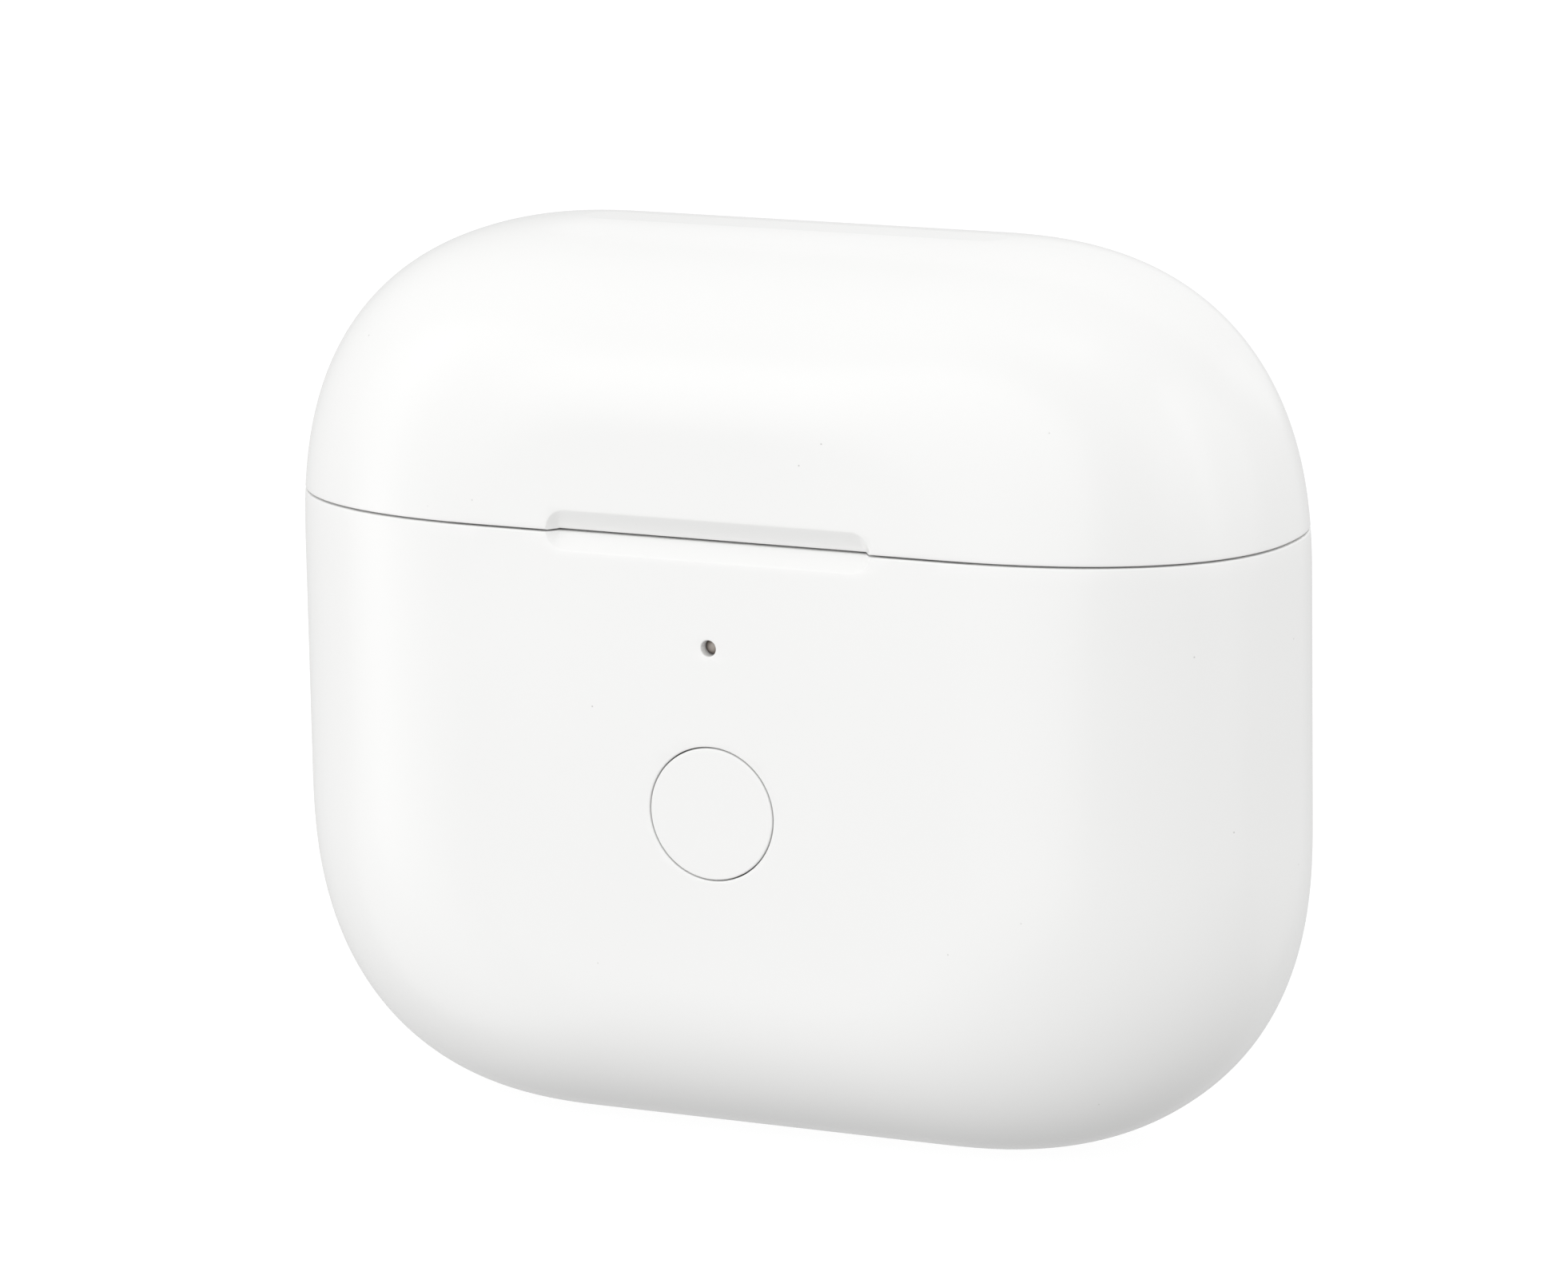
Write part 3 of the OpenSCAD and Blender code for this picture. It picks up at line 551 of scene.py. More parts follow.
dress(eased("front_board", "front_circuit_board", 0.04), solder_mask, "base", "board_green", "front_board")

# Polyimide film: amber and glossy, with copper tracks that run along the lead.
flex_film, tree = new_material("amber polyimide film", colour("#B8741F"))
place = add_node(tree, "ShaderNodeTexCoord", {}, {}).outputs["Object"]
lines = add_node(tree, "ShaderNodeTexWave", {"bands_direction": "X"}, {
    "Vector": place, "Scale": per_mm(0.5) / 6, "Distortion": 0.0})
film = add_node(tree, "ShaderNodeMix", {"data_type": "RGBA"}, {
    0: lines.outputs["Fac"], 6: colour("#A5641A"), 7: colour("#D08E3C")})
bump = add_node(tree, "ShaderNodeBump", {}, {
    "Height": lines.outputs["Fac"], "Strength": 0.5, "Distance": 0.01 * MM})
finish_surface(tree, {"Base Color": film.outputs[2], "Roughness": 0.25, "IOR": 1.7,
                      "Normal": bump.outputs[0]})
for node, name in [("front_flex", "front_flat_lead"), ("contact_flex", "contact_flat_leads"),
                   ("coil_leads", "coil_flat_leads")]:
    dress(eased(node, name, 0.03), flex_film, "base", "flex_film", node)

# ---------------------------------------------------------------- main board
# The main circuit board, 0.8 mm glass epoxy, screwed to two lugs. Six chip packages
# and two rows of ceramic capacitors are reflow soldered to its back.
dress(eased("main_board", "main_circuit_board", 0.04), solder_mask, "base", "board_green", "main_board")


def new_plan(name, sizes):
    """A Geometry Nodes tree with a number input for each size, its defaults in metres."""
    plan = bpy.data.node_groups.new(name, "GeometryNodeTree")
    plan.interface.new_socket("Geometry", in_out="OUTPUT", socket_type="NodeSocketGeometry")
    for size, value in sizes.items():
        plan.interface.new_socket(size, in_out="INPUT", socket_type="NodeSocketFloat").default_value = value
    plan.interface.new_socket("Finish", in_out="INPUT", socket_type="NodeSocketMaterial")
    return plan, add_node(plan, "NodeGroupInput", {}, {}).outputs


def close_plan(plan, given, geometry):
    """Ends a tree: instances made real, the finish set, and the output."""
    real = add_node(plan, "GeometryNodeRealizeInstances", {}, {"Geometry": geometry})
    painted = add_node(plan, "GeometryNodeSetMaterial", {}, {
        "Geometry": real.outputs[0], "Material": given["Finish"]})
    add_node(plan, "NodeGroupOutput", {}, {"Geometry": painted.outputs[0]})


def grow(plan, name, sizes, finish):
    """Runs a plan with these sizes, given in metres, and keeps the result as a plain mesh object."""
    piece = bpy.data.objects.new(name, bpy.data.meshes.new(name))
    bpy.context.scene.collection.objects.link(piece)
    step = piece.modifiers.new("plan", "NODES")
    step.node_group = plan
    for socket in plan.interface.items_tree:
        if socket.name in sizes:
            step[socket.identifier] = sizes[socket.name]
        elif socket.name == "Finish":
            step[socket.identifier] = finish
    mesh = bpy.data.meshes.new_from_object(piece.evaluated_get(bpy.context.evaluated_depsgraph_get()))
    piece.modifiers.clear()
    piece.data = mesh
    return smooth(piece)


board_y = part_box("board_chips")[0].y
capacitor_plan, given = new_plan("capacitor rows", {
    "Length": 1.0 * MM, "Height": 0.5 * MM, "Thickness": 0.5 * MM, "Pitch": 1.3 * MM,
    "Row spacing": 18.2 * MM, "First x": -10.4 * MM, "First z": 12.65 * MM, "Board y": board_y})
section = add_node(capacitor_plan, "GeometryNodeCurvePrimitiveQuadrilateral", {}, {
    "Width": given["Height"], "Height": given["Thickness"]})
rounded = add_node(capacitor_plan, "GeometryNodeFilletCurve", {"mode": "POLY"}, {
    "Curve": section.outputs[0], "Radius": 0.08 * MM, "Count": 3})
left_x = add_node(capacitor_plan, "ShaderNodeMath", {"operation": "MULTIPLY"}, {
    0: given["Length"], 1: -0.5}).outputs[0]
right_x = add_node(capacitor_plan, "ShaderNodeMath", {"operation": "MULTIPLY"}, {
    0: given["Length"], 1: 0.5}).outputs[0]
left_end = add_node(capacitor_plan, "ShaderNodeCombineXYZ", {}, {"X": left_x}).outputs[0]
right_end = add_node(capacitor_plan, "ShaderNodeCombineXYZ", {}, {"X": right_x}).outputs[0]
spine = add_node(capacitor_plan, "GeometryNodeCurvePrimitiveLine", {}, {
    "Start": left_end, "End": right_end})
body = add_node(capacitor_plan, "GeometryNodeCurveToMesh", {}, {
    "Curve": spine.outputs[0], "Profile Curve": rounded.outputs[0], "Fill Caps": True})
half_thick = add_node(capacitor_plan, "ShaderNodeMath", {"operation": "MULTIPLY_ADD"}, {
    0: given["Thickness"], 1: 0.5, 2: given["Board y"]})
first_place = add_node(capacitor_plan, "ShaderNodeCombineXYZ", {}, {
    "X": given["First x"], "Y": half_thick.outputs[0], "Z": given["First z"]}).outputs[0]
step_up = add_node(capacitor_plan, "ShaderNodeCombineXYZ", {}, {"Z": given["Pitch"]}).outputs[0]
column = add_node(capacitor_plan, "GeometryNodeMeshLine", {}, {
    "Count": 6, "Start Location": first_place, "Offset": step_up})
next_row = add_node(capacitor_plan, "ShaderNodeCombineXYZ", {}, {"X": given["Row spacing"]}).outputs[0]
second = add_node(capacitor_plan, "GeometryNodeTransform", {}, {
    "Geometry": column.outputs[0], "Translation": next_row})
both = add_node(capacitor_plan, "GeometryNodeJoinGeometry", {}, {"Geometry": column.outputs[0]})
capacitor_plan.links.new(second.outputs[0], both.inputs[0])
placed = add_node(capacitor_plan, "GeometryNodeInstanceOnPoints", {}, {
    "Points": both.outputs[0], "Instance": body.outputs[0]})
close_plan(capacitor_plan, given, placed.outputs[0])

# Ceramic capacitor bodies: tan and satin, with fine pits.
ceramic, tree = new_material("fired tan ceramic", colour("#A58B66"))
place = add_node(tree, "ShaderNodeTexCoord", {}, {}).outputs["Object"]
pits = add_node(tree, "ShaderNodeTexNoise", {}, {"Vector": place, "Scale": per_mm(0.08), "Detail": 3.0})
fired = add_node(tree, "ShaderNodeMix", {"data_type": "RGBA"}, {
    0: pits.outputs["Fac"], 6: colour("#94794F"), 7: colour("#B79D76")})
finish_surface(tree, {"Base Color": fired.outputs[2], "Roughness": 0.5})
capacitors = grow(capacitor_plan, "ceramic_capacitors", {}, ceramic)
dress(capacitors, ceramic, "base", "chip_black", "board_chips")

# Each chip package's middle, x and height, then its width, its height and its thickness.
PACKAGES = [(-5.5, 16.5, 5, 5, 0.9), (3.5, 17.5, 4, 4, 0.8), (9, 17, 3, 3, 1.2),
            (-5.5, 10.5, 3, 3, 0.75), (0, 11.5, 2.5, 2, 0.6), (5, 11, 3.2, 2.5, 1)]
for number, (x, z, wide, tall, thick) in enumerate(PACKAGES):
    rows = []
    for inset, out in [(0.06, 0), (0, 0.06), (0, 0.55), (0.05, 0.9), (0.12, 1)]:
        outline = rounded_outline(wide / 2 - inset, tall / 2 - inset, 0.15 - inset / 2, 3)
        rows.append(across_y(outline, board_y / MM + thick * out, z) + np.array([x, 0, 0]))
    dress(smooth(solid(f"chip_package_{number}", rows)), chip_epoxy, "base", "chip_black", "board_chips")

# ---------------------------------------------------------------- charging socket
# A drawn stainless sleeve with a rolled lip, and a black moulded tongue with eight gold
# strips on each face. It is soldered to the main board's lower edge.
sleeve_low, sleeve_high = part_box("socket_shell")
sleeve_half = sleeve_high.x / MM
sleeve_tall = sleeve_high.y / MM
SLEEVE_WALL, LIP = 0.3, 0.12


def sleeve_outline(inset, z):
    """The sleeve's slot-shaped outline, inset from its outside."""
    outline = rounded_outline(sleeve_half - inset, sleeve_tall - inset, sleeve_tall - inset, 16)
    return np.c_[outline, np.full(len(outline), z)]


low, high = sleeve_low.z / MM, sleeve_high.z / MM
sleeve_rows = [sleeve_outline(SLEEVE_WALL, high), sleeve_outline(0.04, high), sleeve_outline(0, high - 0.04)]
sleeve_rows += [sleeve_outline(LIP * rise, low + LIP - LIP * sine)
                for sine, rise in [(0, 0)] + quarter_turn(5)]
sleeve_rows += [sleeve_outline(SLEEVE_WALL - LIP * rise, low + LIP - LIP * sine)
                for sine, rise in quarter_turn(5)[::-1]]
sleeve_rows += [sleeve_outline(SLEEVE_WALL, low + LIP), sleeve_outline(SLEEVE_WALL, high - SLEEVE_WALL)]

# Drawn stainless steel: bright, with fine draw lines along its depth.
drawn_steel = worked_metal("drawn stainless steel", "#B9B8B6", 0.2, 0.05, "z", 0.0008)
dress(smooth(solid("socket_sleeve", sleeve_rows)), drawn_steel, "base", "steel", "socket_shell")
dress(eased("socket_tongue", "socket_tongue_moulding", 0.1), black_polymer,
      "base", "black_plastic", "socket_tongue")

strips_low, strips_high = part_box("socket_contacts")
STRIP_W, STRIP_T = 0.3, 0.07
contact_plan, given = new_plan("socket contacts", {
    "Strip width": STRIP_W * MM, "Strip thickness": STRIP_T * MM, "Pitch": 0.7 * MM,
    "First x": strips_low.x + STRIP_W / 2 * MM, "Face y": strips_high.y - STRIP_T / 2 * MM,
    "Strip low z": strips_low.z, "Strip high z": strips_high.z})
section = add_node(contact_plan, "GeometryNodeCurvePrimitiveQuadrilateral", {}, {
    "Width": given["Strip width"], "Height": given["Strip thickness"]})
rounded = add_node(contact_plan, "GeometryNodeFilletCurve", {"mode": "POLY"}, {
    "Curve": section.outputs[0], "Radius": 0.02 * MM, "Count": 2})
low_end = add_node(contact_plan, "ShaderNodeCombineXYZ", {}, {"Z": given["Strip low z"]}).outputs[0]
high_end = add_node(contact_plan, "ShaderNodeCombineXYZ", {}, {"Z": given["Strip high z"]}).outputs[0]
spine = add_node(contact_plan, "GeometryNodeCurvePrimitiveLine", {}, {
    "Start": low_end, "End": high_end})
fine_spine = add_node(contact_plan, "GeometryNodeResampleCurve", {}, {
    "Curve": spine.outputs[0], "Count": 16})
along = add_node(contact_plan, "GeometryNodeSplineParameter", {}, {})
nose = add_node(contact_plan, "ShaderNodeMapRange", {"interpolation_type": "SMOOTHSTEP"}, {
    "Value": along.outputs["Factor"], 1: 0.0, 2: 0.14, 3: 0.45, 4: 1.0})
tapered = add_node(contact_plan, "GeometryNodeSetCurveRadius", {}, {
    "Curve": fine_spine.outputs[0], "Radius": nose.outputs[0]})
strip = add_node(contact_plan, "GeometryNodeCurveToMesh", {}, {
    "Curve": tapered.outputs[0], "Profile Curve": rounded.outputs[0], "Fill Caps": True})
first_place = add_node(contact_plan, "ShaderNodeCombineXYZ", {}, {
    "X": given["First x"], "Y": given["Face y"]}).outputs[0]
step_across = add_node(contact_plan, "ShaderNodeCombineXYZ", {}, {"X": given["Pitch"]}).outputs[0]
row = add_node(contact_plan, "GeometryNodeMeshLine", {}, {
    "Count": 8, "Start Location": first_place, "Offset": step_across})
placed = add_node(contact_plan, "GeometryNodeInstanceOnPoints", {}, {
    "Points": row.outputs[0], "Instance": strip.outputs[0]})
far_face = add_node(contact_plan, "GeometryNodeTransform", {}, {
    "Geometry": placed.outputs[0], "Rotation": (0, 0, math.pi)})
both = add_node(contact_plan, "GeometryNodeJoinGeometry", {}, {"Geometry": placed.outputs[0]})
contact_plan.links.new(far_face.outputs[0], both.inputs[0])
close_plan(contact_plan, given, both.outputs[0])

# Hard gold plate over nickel: warm, bright and smooth.
gold_plate = worked_metal("hard gold plate", "#D9A441", 0.2, 0.04, "z", 0.0006)
dress(grow(contact_plan, "socket_contact_strips", {}, gold_plate), gold_plate,
      "base", "gold_plate", "socket_contacts")

# ---------------------------------------------------------------- cell
# A lithium pouch cell in aluminium laminate, taped to the main board, with two nickel
# tabs welded to the board's edge.
# Laminated foil: silver grey and half glossy, softly creased and finely embossed.
cell_foil, tree = new_material("aluminium pouch laminate", colour("#B4B6B9"))
place = add_node(tree, "ShaderNodeTexCoord", {}, {}).outputs["Object"]
creases = add_node(tree, "ShaderNodeTexNoise", {}, {"Vector": place, "Scale": per_mm(3.5), "Detail": 5.0})
emboss = add_node(tree, "ShaderNodeTexVoronoi", {}, {"Vector": place, "Scale": per_mm(0.35)})
relief = add_node(tree, "ShaderNodeMath", {"operation": "MULTIPLY_ADD"}, {
    0: emboss.outputs["Distance"], 1: 0.12, 2: creases.outputs["Fac"]})
foil_tone = add_node(tree, "ShaderNodeMix", {"data_type": "RGBA"}, {
    0: creases.outputs["Fac"], 6: colour("#9FA2A6"), 7: colour("#CBCDCF")})
bump = add_node(tree, "ShaderNodeBump", {}, {
    "Height": relief.outputs[0], "Strength": 0.7, "Distance": 0.08 * MM})
finish_surface(tree, {"Base Color": foil_tone.outputs[2], "Roughness": 0.34, "Metallic": 0.9,
                      "Normal": bump.outputs[0]})
dress(eased("battery_cell", "pouch_cell", 0.35, 4), cell_foil, "base", "cell_foil", "battery_cell")

# Nickel: a warm grey, rolled across its width.
nickel = worked_metal("rolled nickel", "#B5AFA4", 0.25, 0.05, "x", 0.001)
dress(eased("battery_tabs", "cell_tabs", 0.03), nickel, "base", "nickel", "battery_tabs")

# White foam tape: matt, with small open cells, each painted darker at its middle as painted shade in the
# pore.
foam_tape, tree = new_material("white foam tape", colour("#ECEBE6"))
place = add_node(tree, "ShaderNodeTexCoord", {}, {}).outputs["Object"]
cells = add_node(tree, "ShaderNodeTexVoronoi", {}, {"Vector": place, "Scale": per_mm(0.15)})
# Painted shade: the colour is darker at each cell's middle, where the bump sinks into a pore.
foam_and_painted_pore_shade = add_node(tree, "ShaderNodeMix", {"data_type": "RGBA"}, {
    0: cells.outputs["Distance"], 6: colour("#D6D4CC"), 7: colour("#F2F1ED")})
bump = add_node(tree, "ShaderNodeBump", {}, {
    "Height": cells.outputs["Distance"], "Strength": 0.8, "Distance": 0.03 * MM})
finish_surface(tree, {"Base Color": foam_and_painted_pore_shade.outputs[2], "Roughness": 0.85, "Normal": bump.outputs[0]})
dress(eased("cell_tape", "cell_foam_tape", 0.05), foam_tape, "base", "tape_white", "cell_tape")

# ---------------------------------------------------------------- charging coil
# The wireless charging coil: two layers of enamelled copper wire wound flat, bonded to
# a ferrite sheet that shields the board and the cell.
coil_low, coil_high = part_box("charge_coil")
WIRE_R, COIL_BORE = 0.17, 4.6
clear_of_edge = (WIRE_R + 0.02) * MM
coil_plan, given = new_plan("wound coil", {
    "Inner radius": COIL_BORE * MM + clear_of_edge, "Outer radius": coil_high.x - clear_of_edge,
    "Turns": 10.5, "Wire radius": WIRE_R * MM, "Layer gap": (2 * WIRE_R + 0.03) * MM,
    "Centre y": coil_low.y + clear_of_edge, "Centre z": (coil_low.z + coil_high.z) / 2})
winding = add_node(coil_plan, "GeometryNodeCurveSpiral", {}, {
    "Resolution": 44, "Rotations": given["Turns"], "Start Radius": given["Inner radius"],
    "End Radius": given["Outer radius"], "Height": 0.0})
wire = add_node(coil_plan, "GeometryNodeCurvePrimitiveCircle", {}, {
    "Resolution": 10, "Radius": given["Wire radius"]})
turns = add_node(coil_plan, "GeometryNodeCurveToMesh", {}, {
    "Curve": winding.outputs[0], "Profile Curve": wire.outputs[0], "Fill Caps": True})
upright = add_node(coil_plan, "GeometryNodeTransform", {}, {
    "Geometry": turns.outputs[0], "Rotation": (math.pi / 2, 0, 0)})
coil_centre = add_node(coil_plan, "ShaderNodeCombineXYZ", {}, {
    "Y": given["Centre y"], "Z": given["Centre z"]}).outputs[0]
layer_step = add_node(coil_plan, "ShaderNodeCombineXYZ", {}, {"Y": given["Layer gap"]}).outputs[0]
layers = add_node(coil_plan, "GeometryNodeMeshLine", {}, {
    "Count": 2, "Start Location": coil_centre, "Offset": layer_step})
placed = add_node(coil_plan, "GeometryNodeInstanceOnPoints", {}, {
    "Points": layers.outputs[0], "Instance": upright.outputs[0]})
close_plan(coil_plan, given, placed.outputs[0])

# Enamelled copper wire: red-brown metal under a clear varnish.
enamelled_copper, tree = new_material("enamelled copper wire", colour("#B5653A"))
place = add_node(tree, "ShaderNodeTexCoord", {}, {}).outputs["Object"]
tarnish = add_node(tree, "ShaderNodeTexNoise", {}, {"Vector": place, "Scale": per_mm(1.2), "Detail": 3.0})
copper = add_node(tree, "ShaderNodeMix", {"data_type": "RGBA"}, {
    0: tarnish.outputs["Fac"], 6: colour("#9A4E29"), 7: colour("#C97B4B")})
finish_surface(tree, {"Base Color": copper.outputs[2], "Roughness": 0.3, "Metallic": 0.9,
                      "Coat Weight": 0.6})
dress(grow(coil_plan, "coil_winding", {}, enamelled_copper), enamelled_copper,
      "base", "copper_wire", "charge_coil")

# Sintered ferrite sheet: charcoal and matt, crazed into small tiles so that it can bend.
ferrite, tree = new_material("crazed ferrite sheet", colour("#35373A"))
place = add_node(tree, "ShaderNodeTexCoord", {}, {}).outputs["Object"]
crazing = add_node(tree, "ShaderNodeTexVoronoi", {"feature": "DISTANCE_TO_EDGE"}, {
    "Vector": place, "Scale": per_mm(2.0)})
crack = add_node(tree, "ShaderNodeMapRange", {}, {
    "Value": crazing.outputs["Distance"], 1: 0.0, 2: 0.04, 3: 0.0, 4: 1.0})
sinter = add_node(tree, "ShaderNodeMix", {"data_type": "RGBA"}, {
    0: crack.outputs[0], 6: colour("#1B1C1E"), 7: colour("#3A3D41")})
bump = add_node(tree, "ShaderNodeBump", {}, {
    "Height": crack.outputs[0], "Strength": 0.5, "Distance": 0.02 * MM})
finish_surface(tree, {"Base Color": sinter.outputs[2], "Roughness": 0.6, "Normal": bump.outputs[0]})
dress(eased("ferrite_sheet", "shield_sheet", 0.06), ferrite, "base", "ferrite", "ferrite_sheet")

# ---------------------------------------------------------------- magnets
# Nickel-plated sintered magnets, glued in place: one bar holds the lid shut, and two
# discs under the wells hold the earbuds.
# Nickel plate: bright and smooth, with faint tumbling marks.
magnet_plate = worked_metal("nickel-plated magnet", "#C2C0BA", 0.16, 0.09, "x", 0.0008)
dress(eased("base_magnet", "closing_magnet", 0.15, 3), magnet_plate, "base", "nickel", "base_magnet")
dress(eased("earbud_magnets", "holding_magnets", 0.15, 3), magnet_plate, "base", "nickel", "earbud_magnets")

# ---------------------------------------------------------------- cradle
# The white tray that closes the lower shell: a deck with two wells that take the
# earbuds' heads and stems, moulded in one piece and pressed into the shell.
deck_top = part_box("cradle")[1].z / MM
DECK_T, SLIP = 1.2, 0.08      # the deck's thickness, and its play in the shell
WELL_LIP = 0.45      # radius of the wells' and pockets' rims
STEM = np.array([18.6, 0.8])
STEM_R, STEM_FLOOR = 3.42, 10.195
HEAD_ENDS = [(15.4, 0.0, 7.92), (10.9, -1.2, 6.62)]      # x, y and radius of the bowl's two balls


def bowl_distance(points, ends, middle_z, upright_below):
    """How far points are outside the rounded space between two balls whose middles are at one height.
    Where upright_below is true, the space goes straight down from that height."""
    nearest = np.full(points.shape[:-1], 1e3)
    drop = points[..., 2] - middle_z
    if upright_below:
        drop = np.maximum(drop, 0)
    for share in np.linspace(0, 1, 25):
        x, y, r = [a + (b - a) * share for a, b in zip(*ends)]
        reach = np.sqrt((points[..., 0] - x) ** 2 + (points[..., 1] - y) ** 2 + drop ** 2) - r
        nearest = np.minimum(nearest, reach)
    return nearest


def well_distance(points):
    """The head's bowl and the stem's bore as one space, blended where they meet."""
    bowl = bowl_distance(points, HEAD_ENDS, seam, False)
    bore = np.hypot(points[..., 0] - STEM[0], points[..., 1] - STEM[1]) - STEM_R
    blend = 1.6
    near = np.maximum(blend - np.abs(bowl - bore), 0) / blend
    return np.minimum(bowl, bore) - near ** 2 * blend / 4


def cavity_outline(distance, centre, side, grow, z, measured_z, steps=180):
    """The level outline of a space that can be seen whole from its centre line, grown outwards."""
    turn = np.linspace(0, 2 * math.pi, steps + 1)[:-1]
    inner, outer = np.zeros(steps), np.full(steps, 16.0)
    for _ in range(30):
        radius = (inner + outer) / 2
        points = np.c_[centre[0] + radius * np.cos(turn), centre[1] + radius * np.sin(turn),
                       np.full(steps, measured_z)]
        inside = distance(points) < 0
        inner, outer = np.where(inside, radius, inner), np.where(inside, outer, radius)
    radius = (inner + outer) / 2 + grow
    return np.c_[side * (centre[0] + radius * np.cos(turn)), centre[1] + radius * np.sin(turn),
                 np.full(steps, z)]


def well_cutter(side):
    """One earbud's well, from above the deck to the floor of the stem bore."""
    def outline_at(grow, z):
        return cavity_outline(well_distance, STEM, side, grow, z, min(z, deck_top))

    rows = mouth(outline_at, deck_top, -1, WELL_LIP)
    head_r = HEAD_ENDS[0][2]
    steepest = math.asin((seam - deck_top + WELL_LIP) / head_r)
    heights = list(seam - head_r * np.sin(np.linspace(steepest, math.radians(88), 34)[1:]))
    heights += list(np.linspace(heights[-1], heights[-1] - 1.6, 14)[1:]) + [20, 15, STEM_FLOOR]
    return solid("well", rows + [outline_at(0, z) for z in heights])


def plate(name, fit_z, far_z, face_z):
    """A flat plate that fits the shell's lining at height fit_z, the edge of its face rounded."""
    toward = 1 if face_z > far_z else -1
    rows = []
    for inset, z in [(0, far_z)] + [(0.1 * rise, face_z - toward * (0.1 - 0.1 * sine))
                                    for sine, rise in [(0, 0)] + quarter_turn(4)]:
        row = skin_ring(fit_z, WALL + SLIP + inset)
        row[:, 2] = z
        rows.append(row)
    return solid(name, rows)


def slab(name, half_x, y0, y1, z0, z1):
    """A plain block, for cutting with."""
    outline = rounded_outline(half_x, (y1 - y0) / 2, 0.05, 2) + np.array([0, (y0 + y1) / 2])
    return solid(name, [np.c_[outline, np.full(len(outline), z)] for z in (z0, z1)])


leaf_low, leaf_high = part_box("hinge_base_leaf")
leaf_room_half_x = leaf_high.x / MM + 0.21
deck = plate("deck", deck_top - DECK_T, deck_top - DECK_T, deck_top)
tray = merged_copy("cradle", "cradle_tray")
change_solid(tray, [slab("above", 40, -20, 20, deck_top - 0.7, deck_top + 5)], "DIFFERENCE")
change_solid(tray, [deck], "UNION")
change_solid(tray, [well_cutter(-1), well_cutter(1),
                    slab("leaf_room", leaf_room_half_x, leaf_low.y / MM - 0.1, half_d + 2, 20, 40)],
             "DIFFERENCE")

# The same polycarbonate, a touch greyer and with a finer grain, as the inside of a tool is left.
inner_white = moulded_white("satin white moulded polycarbonate", "#EFEFEE", 0.24, 2.4)
dress(smooth(tray, 40), inner_white, "base", "inner_white", "cradle")

# ---------------------------------------------------------------- earbud contacts
# Under each well a small board carries two spring contacts. Each is a gold-plated pin
# with a shoulder, pushed up by a steel spring inside a gold-plated barrel.
for side in ("left", "right"):
    dress(eased(f"contact_board_{side}", f"{side}_contact_board", 0.04), solder_mask,
          "base", "board_green", f"contact_board_{side}")
dress(eased("pin_barrels", "contact_barrels", 0.04), gold_plate, "base", "gold_plate", "pin_barrels")

SPRING_WIRE_R = 0.05
spring_plan, given = new_plan("contact spring", {
    "Coil radius": 0.4 * MM, "Wire radius": SPRING_WIRE_R * MM, "Turns": 6.0, "Length": 0.9 * MM,
    "Centre x": 0.0, "Centre y": 0.0, "Low z": 0.0})
helix = add_node(spring_plan, "GeometryNodeCurveSpiral", {}, {
    "Resolution": 24, "Rotations": given["Turns"], "Start Radius": given["Coil radius"],
    "End Radius": given["Coil radius"], "Height": given["Length"]})
wire = add_node(spring_plan, "GeometryNodeCurvePrimitiveCircle", {}, {
    "Resolution": 8, "Radius": given["Wire radius"]})
wound = add_node(spring_plan, "GeometryNodeCurveToMesh", {}, {
    "Curve": helix.outputs[0], "Profile Curve": wire.outputs[0], "Fill Caps": True})
spring_place = add_node(spring_plan, "ShaderNodeCombineXYZ", {}, {
    "X": given["Centre x"], "Y": given["Centre y"], "Z": given["Low z"]}).outputs[0]
moved = add_node(spring_plan, "GeometryNodeTransform", {}, {
    "Geometry": wound.outputs[0], "Translation": spring_place})
close_plan(spring_plan, given, moved.outputs[0])

# Hard-drawn spring steel: bright grey.
spring_steel = worked_metal("hard-drawn spring steel", "#A9A8A6", 0.24, 0.05, "x", 0.0006)
PIN_STEPS = 40

for side in ("left", "right"):
    for row in ("front", "back"):
        pin_low, pin_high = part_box(f"pin_{side}_{row}")
        x, y = (pin_low.x + pin_high.x) / 2, (pin_low.y + pin_high.y) / 2
        spring_low, spring_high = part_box(f"pin_spring_{side}_{row}")
        length = spring_high.z - spring_low.z
        spring = grow(spring_plan, f"contact_spring_{side}_{row}", {
            "Centre x": x, "Centre y": y, "Low z": spring_low.z + SPRING_WIRE_R * MM,
            "Length": length - 2 * SPRING_WIRE_R * MM}, spring_steel)
        dress(spring, spring_steel, "base", "steel", f"pin_spring_{side}_{row}")
        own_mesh(spring)

        low, high = pin_low.z / MM, pin_high.z / MM
        shoulder_r, stem_r = (pin_high.x - pin_low.x) / 2 / MM, 0.38
        profile = [(0.1, low), (shoulder_r - 0.05, low), (shoulder_r, low + 0.05), (shoulder_r, low + 0.45),
                   (shoulder_r - 0.05, low + 0.5), (stem_r, low + 0.52), (stem_r, high - stem_r)]
        profile += [(stem_r * math.cos(a), high - stem_r + stem_r * math.sin(a))
                    for a in np.radians([12, 24, 36, 48, 60, 72, 84])]
        turn = np.linspace(0, 2 * math.pi, PIN_STEPS + 1)[:-1]
        pin = solid(f"contact_pin_{side}_{row}",
                    [np.c_[x / MM + r * np.cos(turn), y / MM + r * np.sin(turn), np.full(PIN_STEPS, z)]
                     for r, z in profile])
        dress(smooth(pin), gold_plate, f"contact_{side}_{row}", "gold_plate", f"pin_{side}_{row}")

# ---------------------------------------------------------------- hinge
# Two stainless leaves with interlocking knuckles, flush with the backs of the shells,
# and a ground pin through them. Each leaf's tail is screwed to the moulding behind it.
# Brushed stainless steel: soft and bright, with fine lines along the hinge.
hinge_steel = worked_metal("brushed stainless steel", "#BDBCBA", 0.26, 0.045, "x", 0.0012)
dress(eased("hinge_base_leaf", "lower_hinge_leaf", 0.05), hinge_steel, "base", "steel", "hinge_base_leaf")
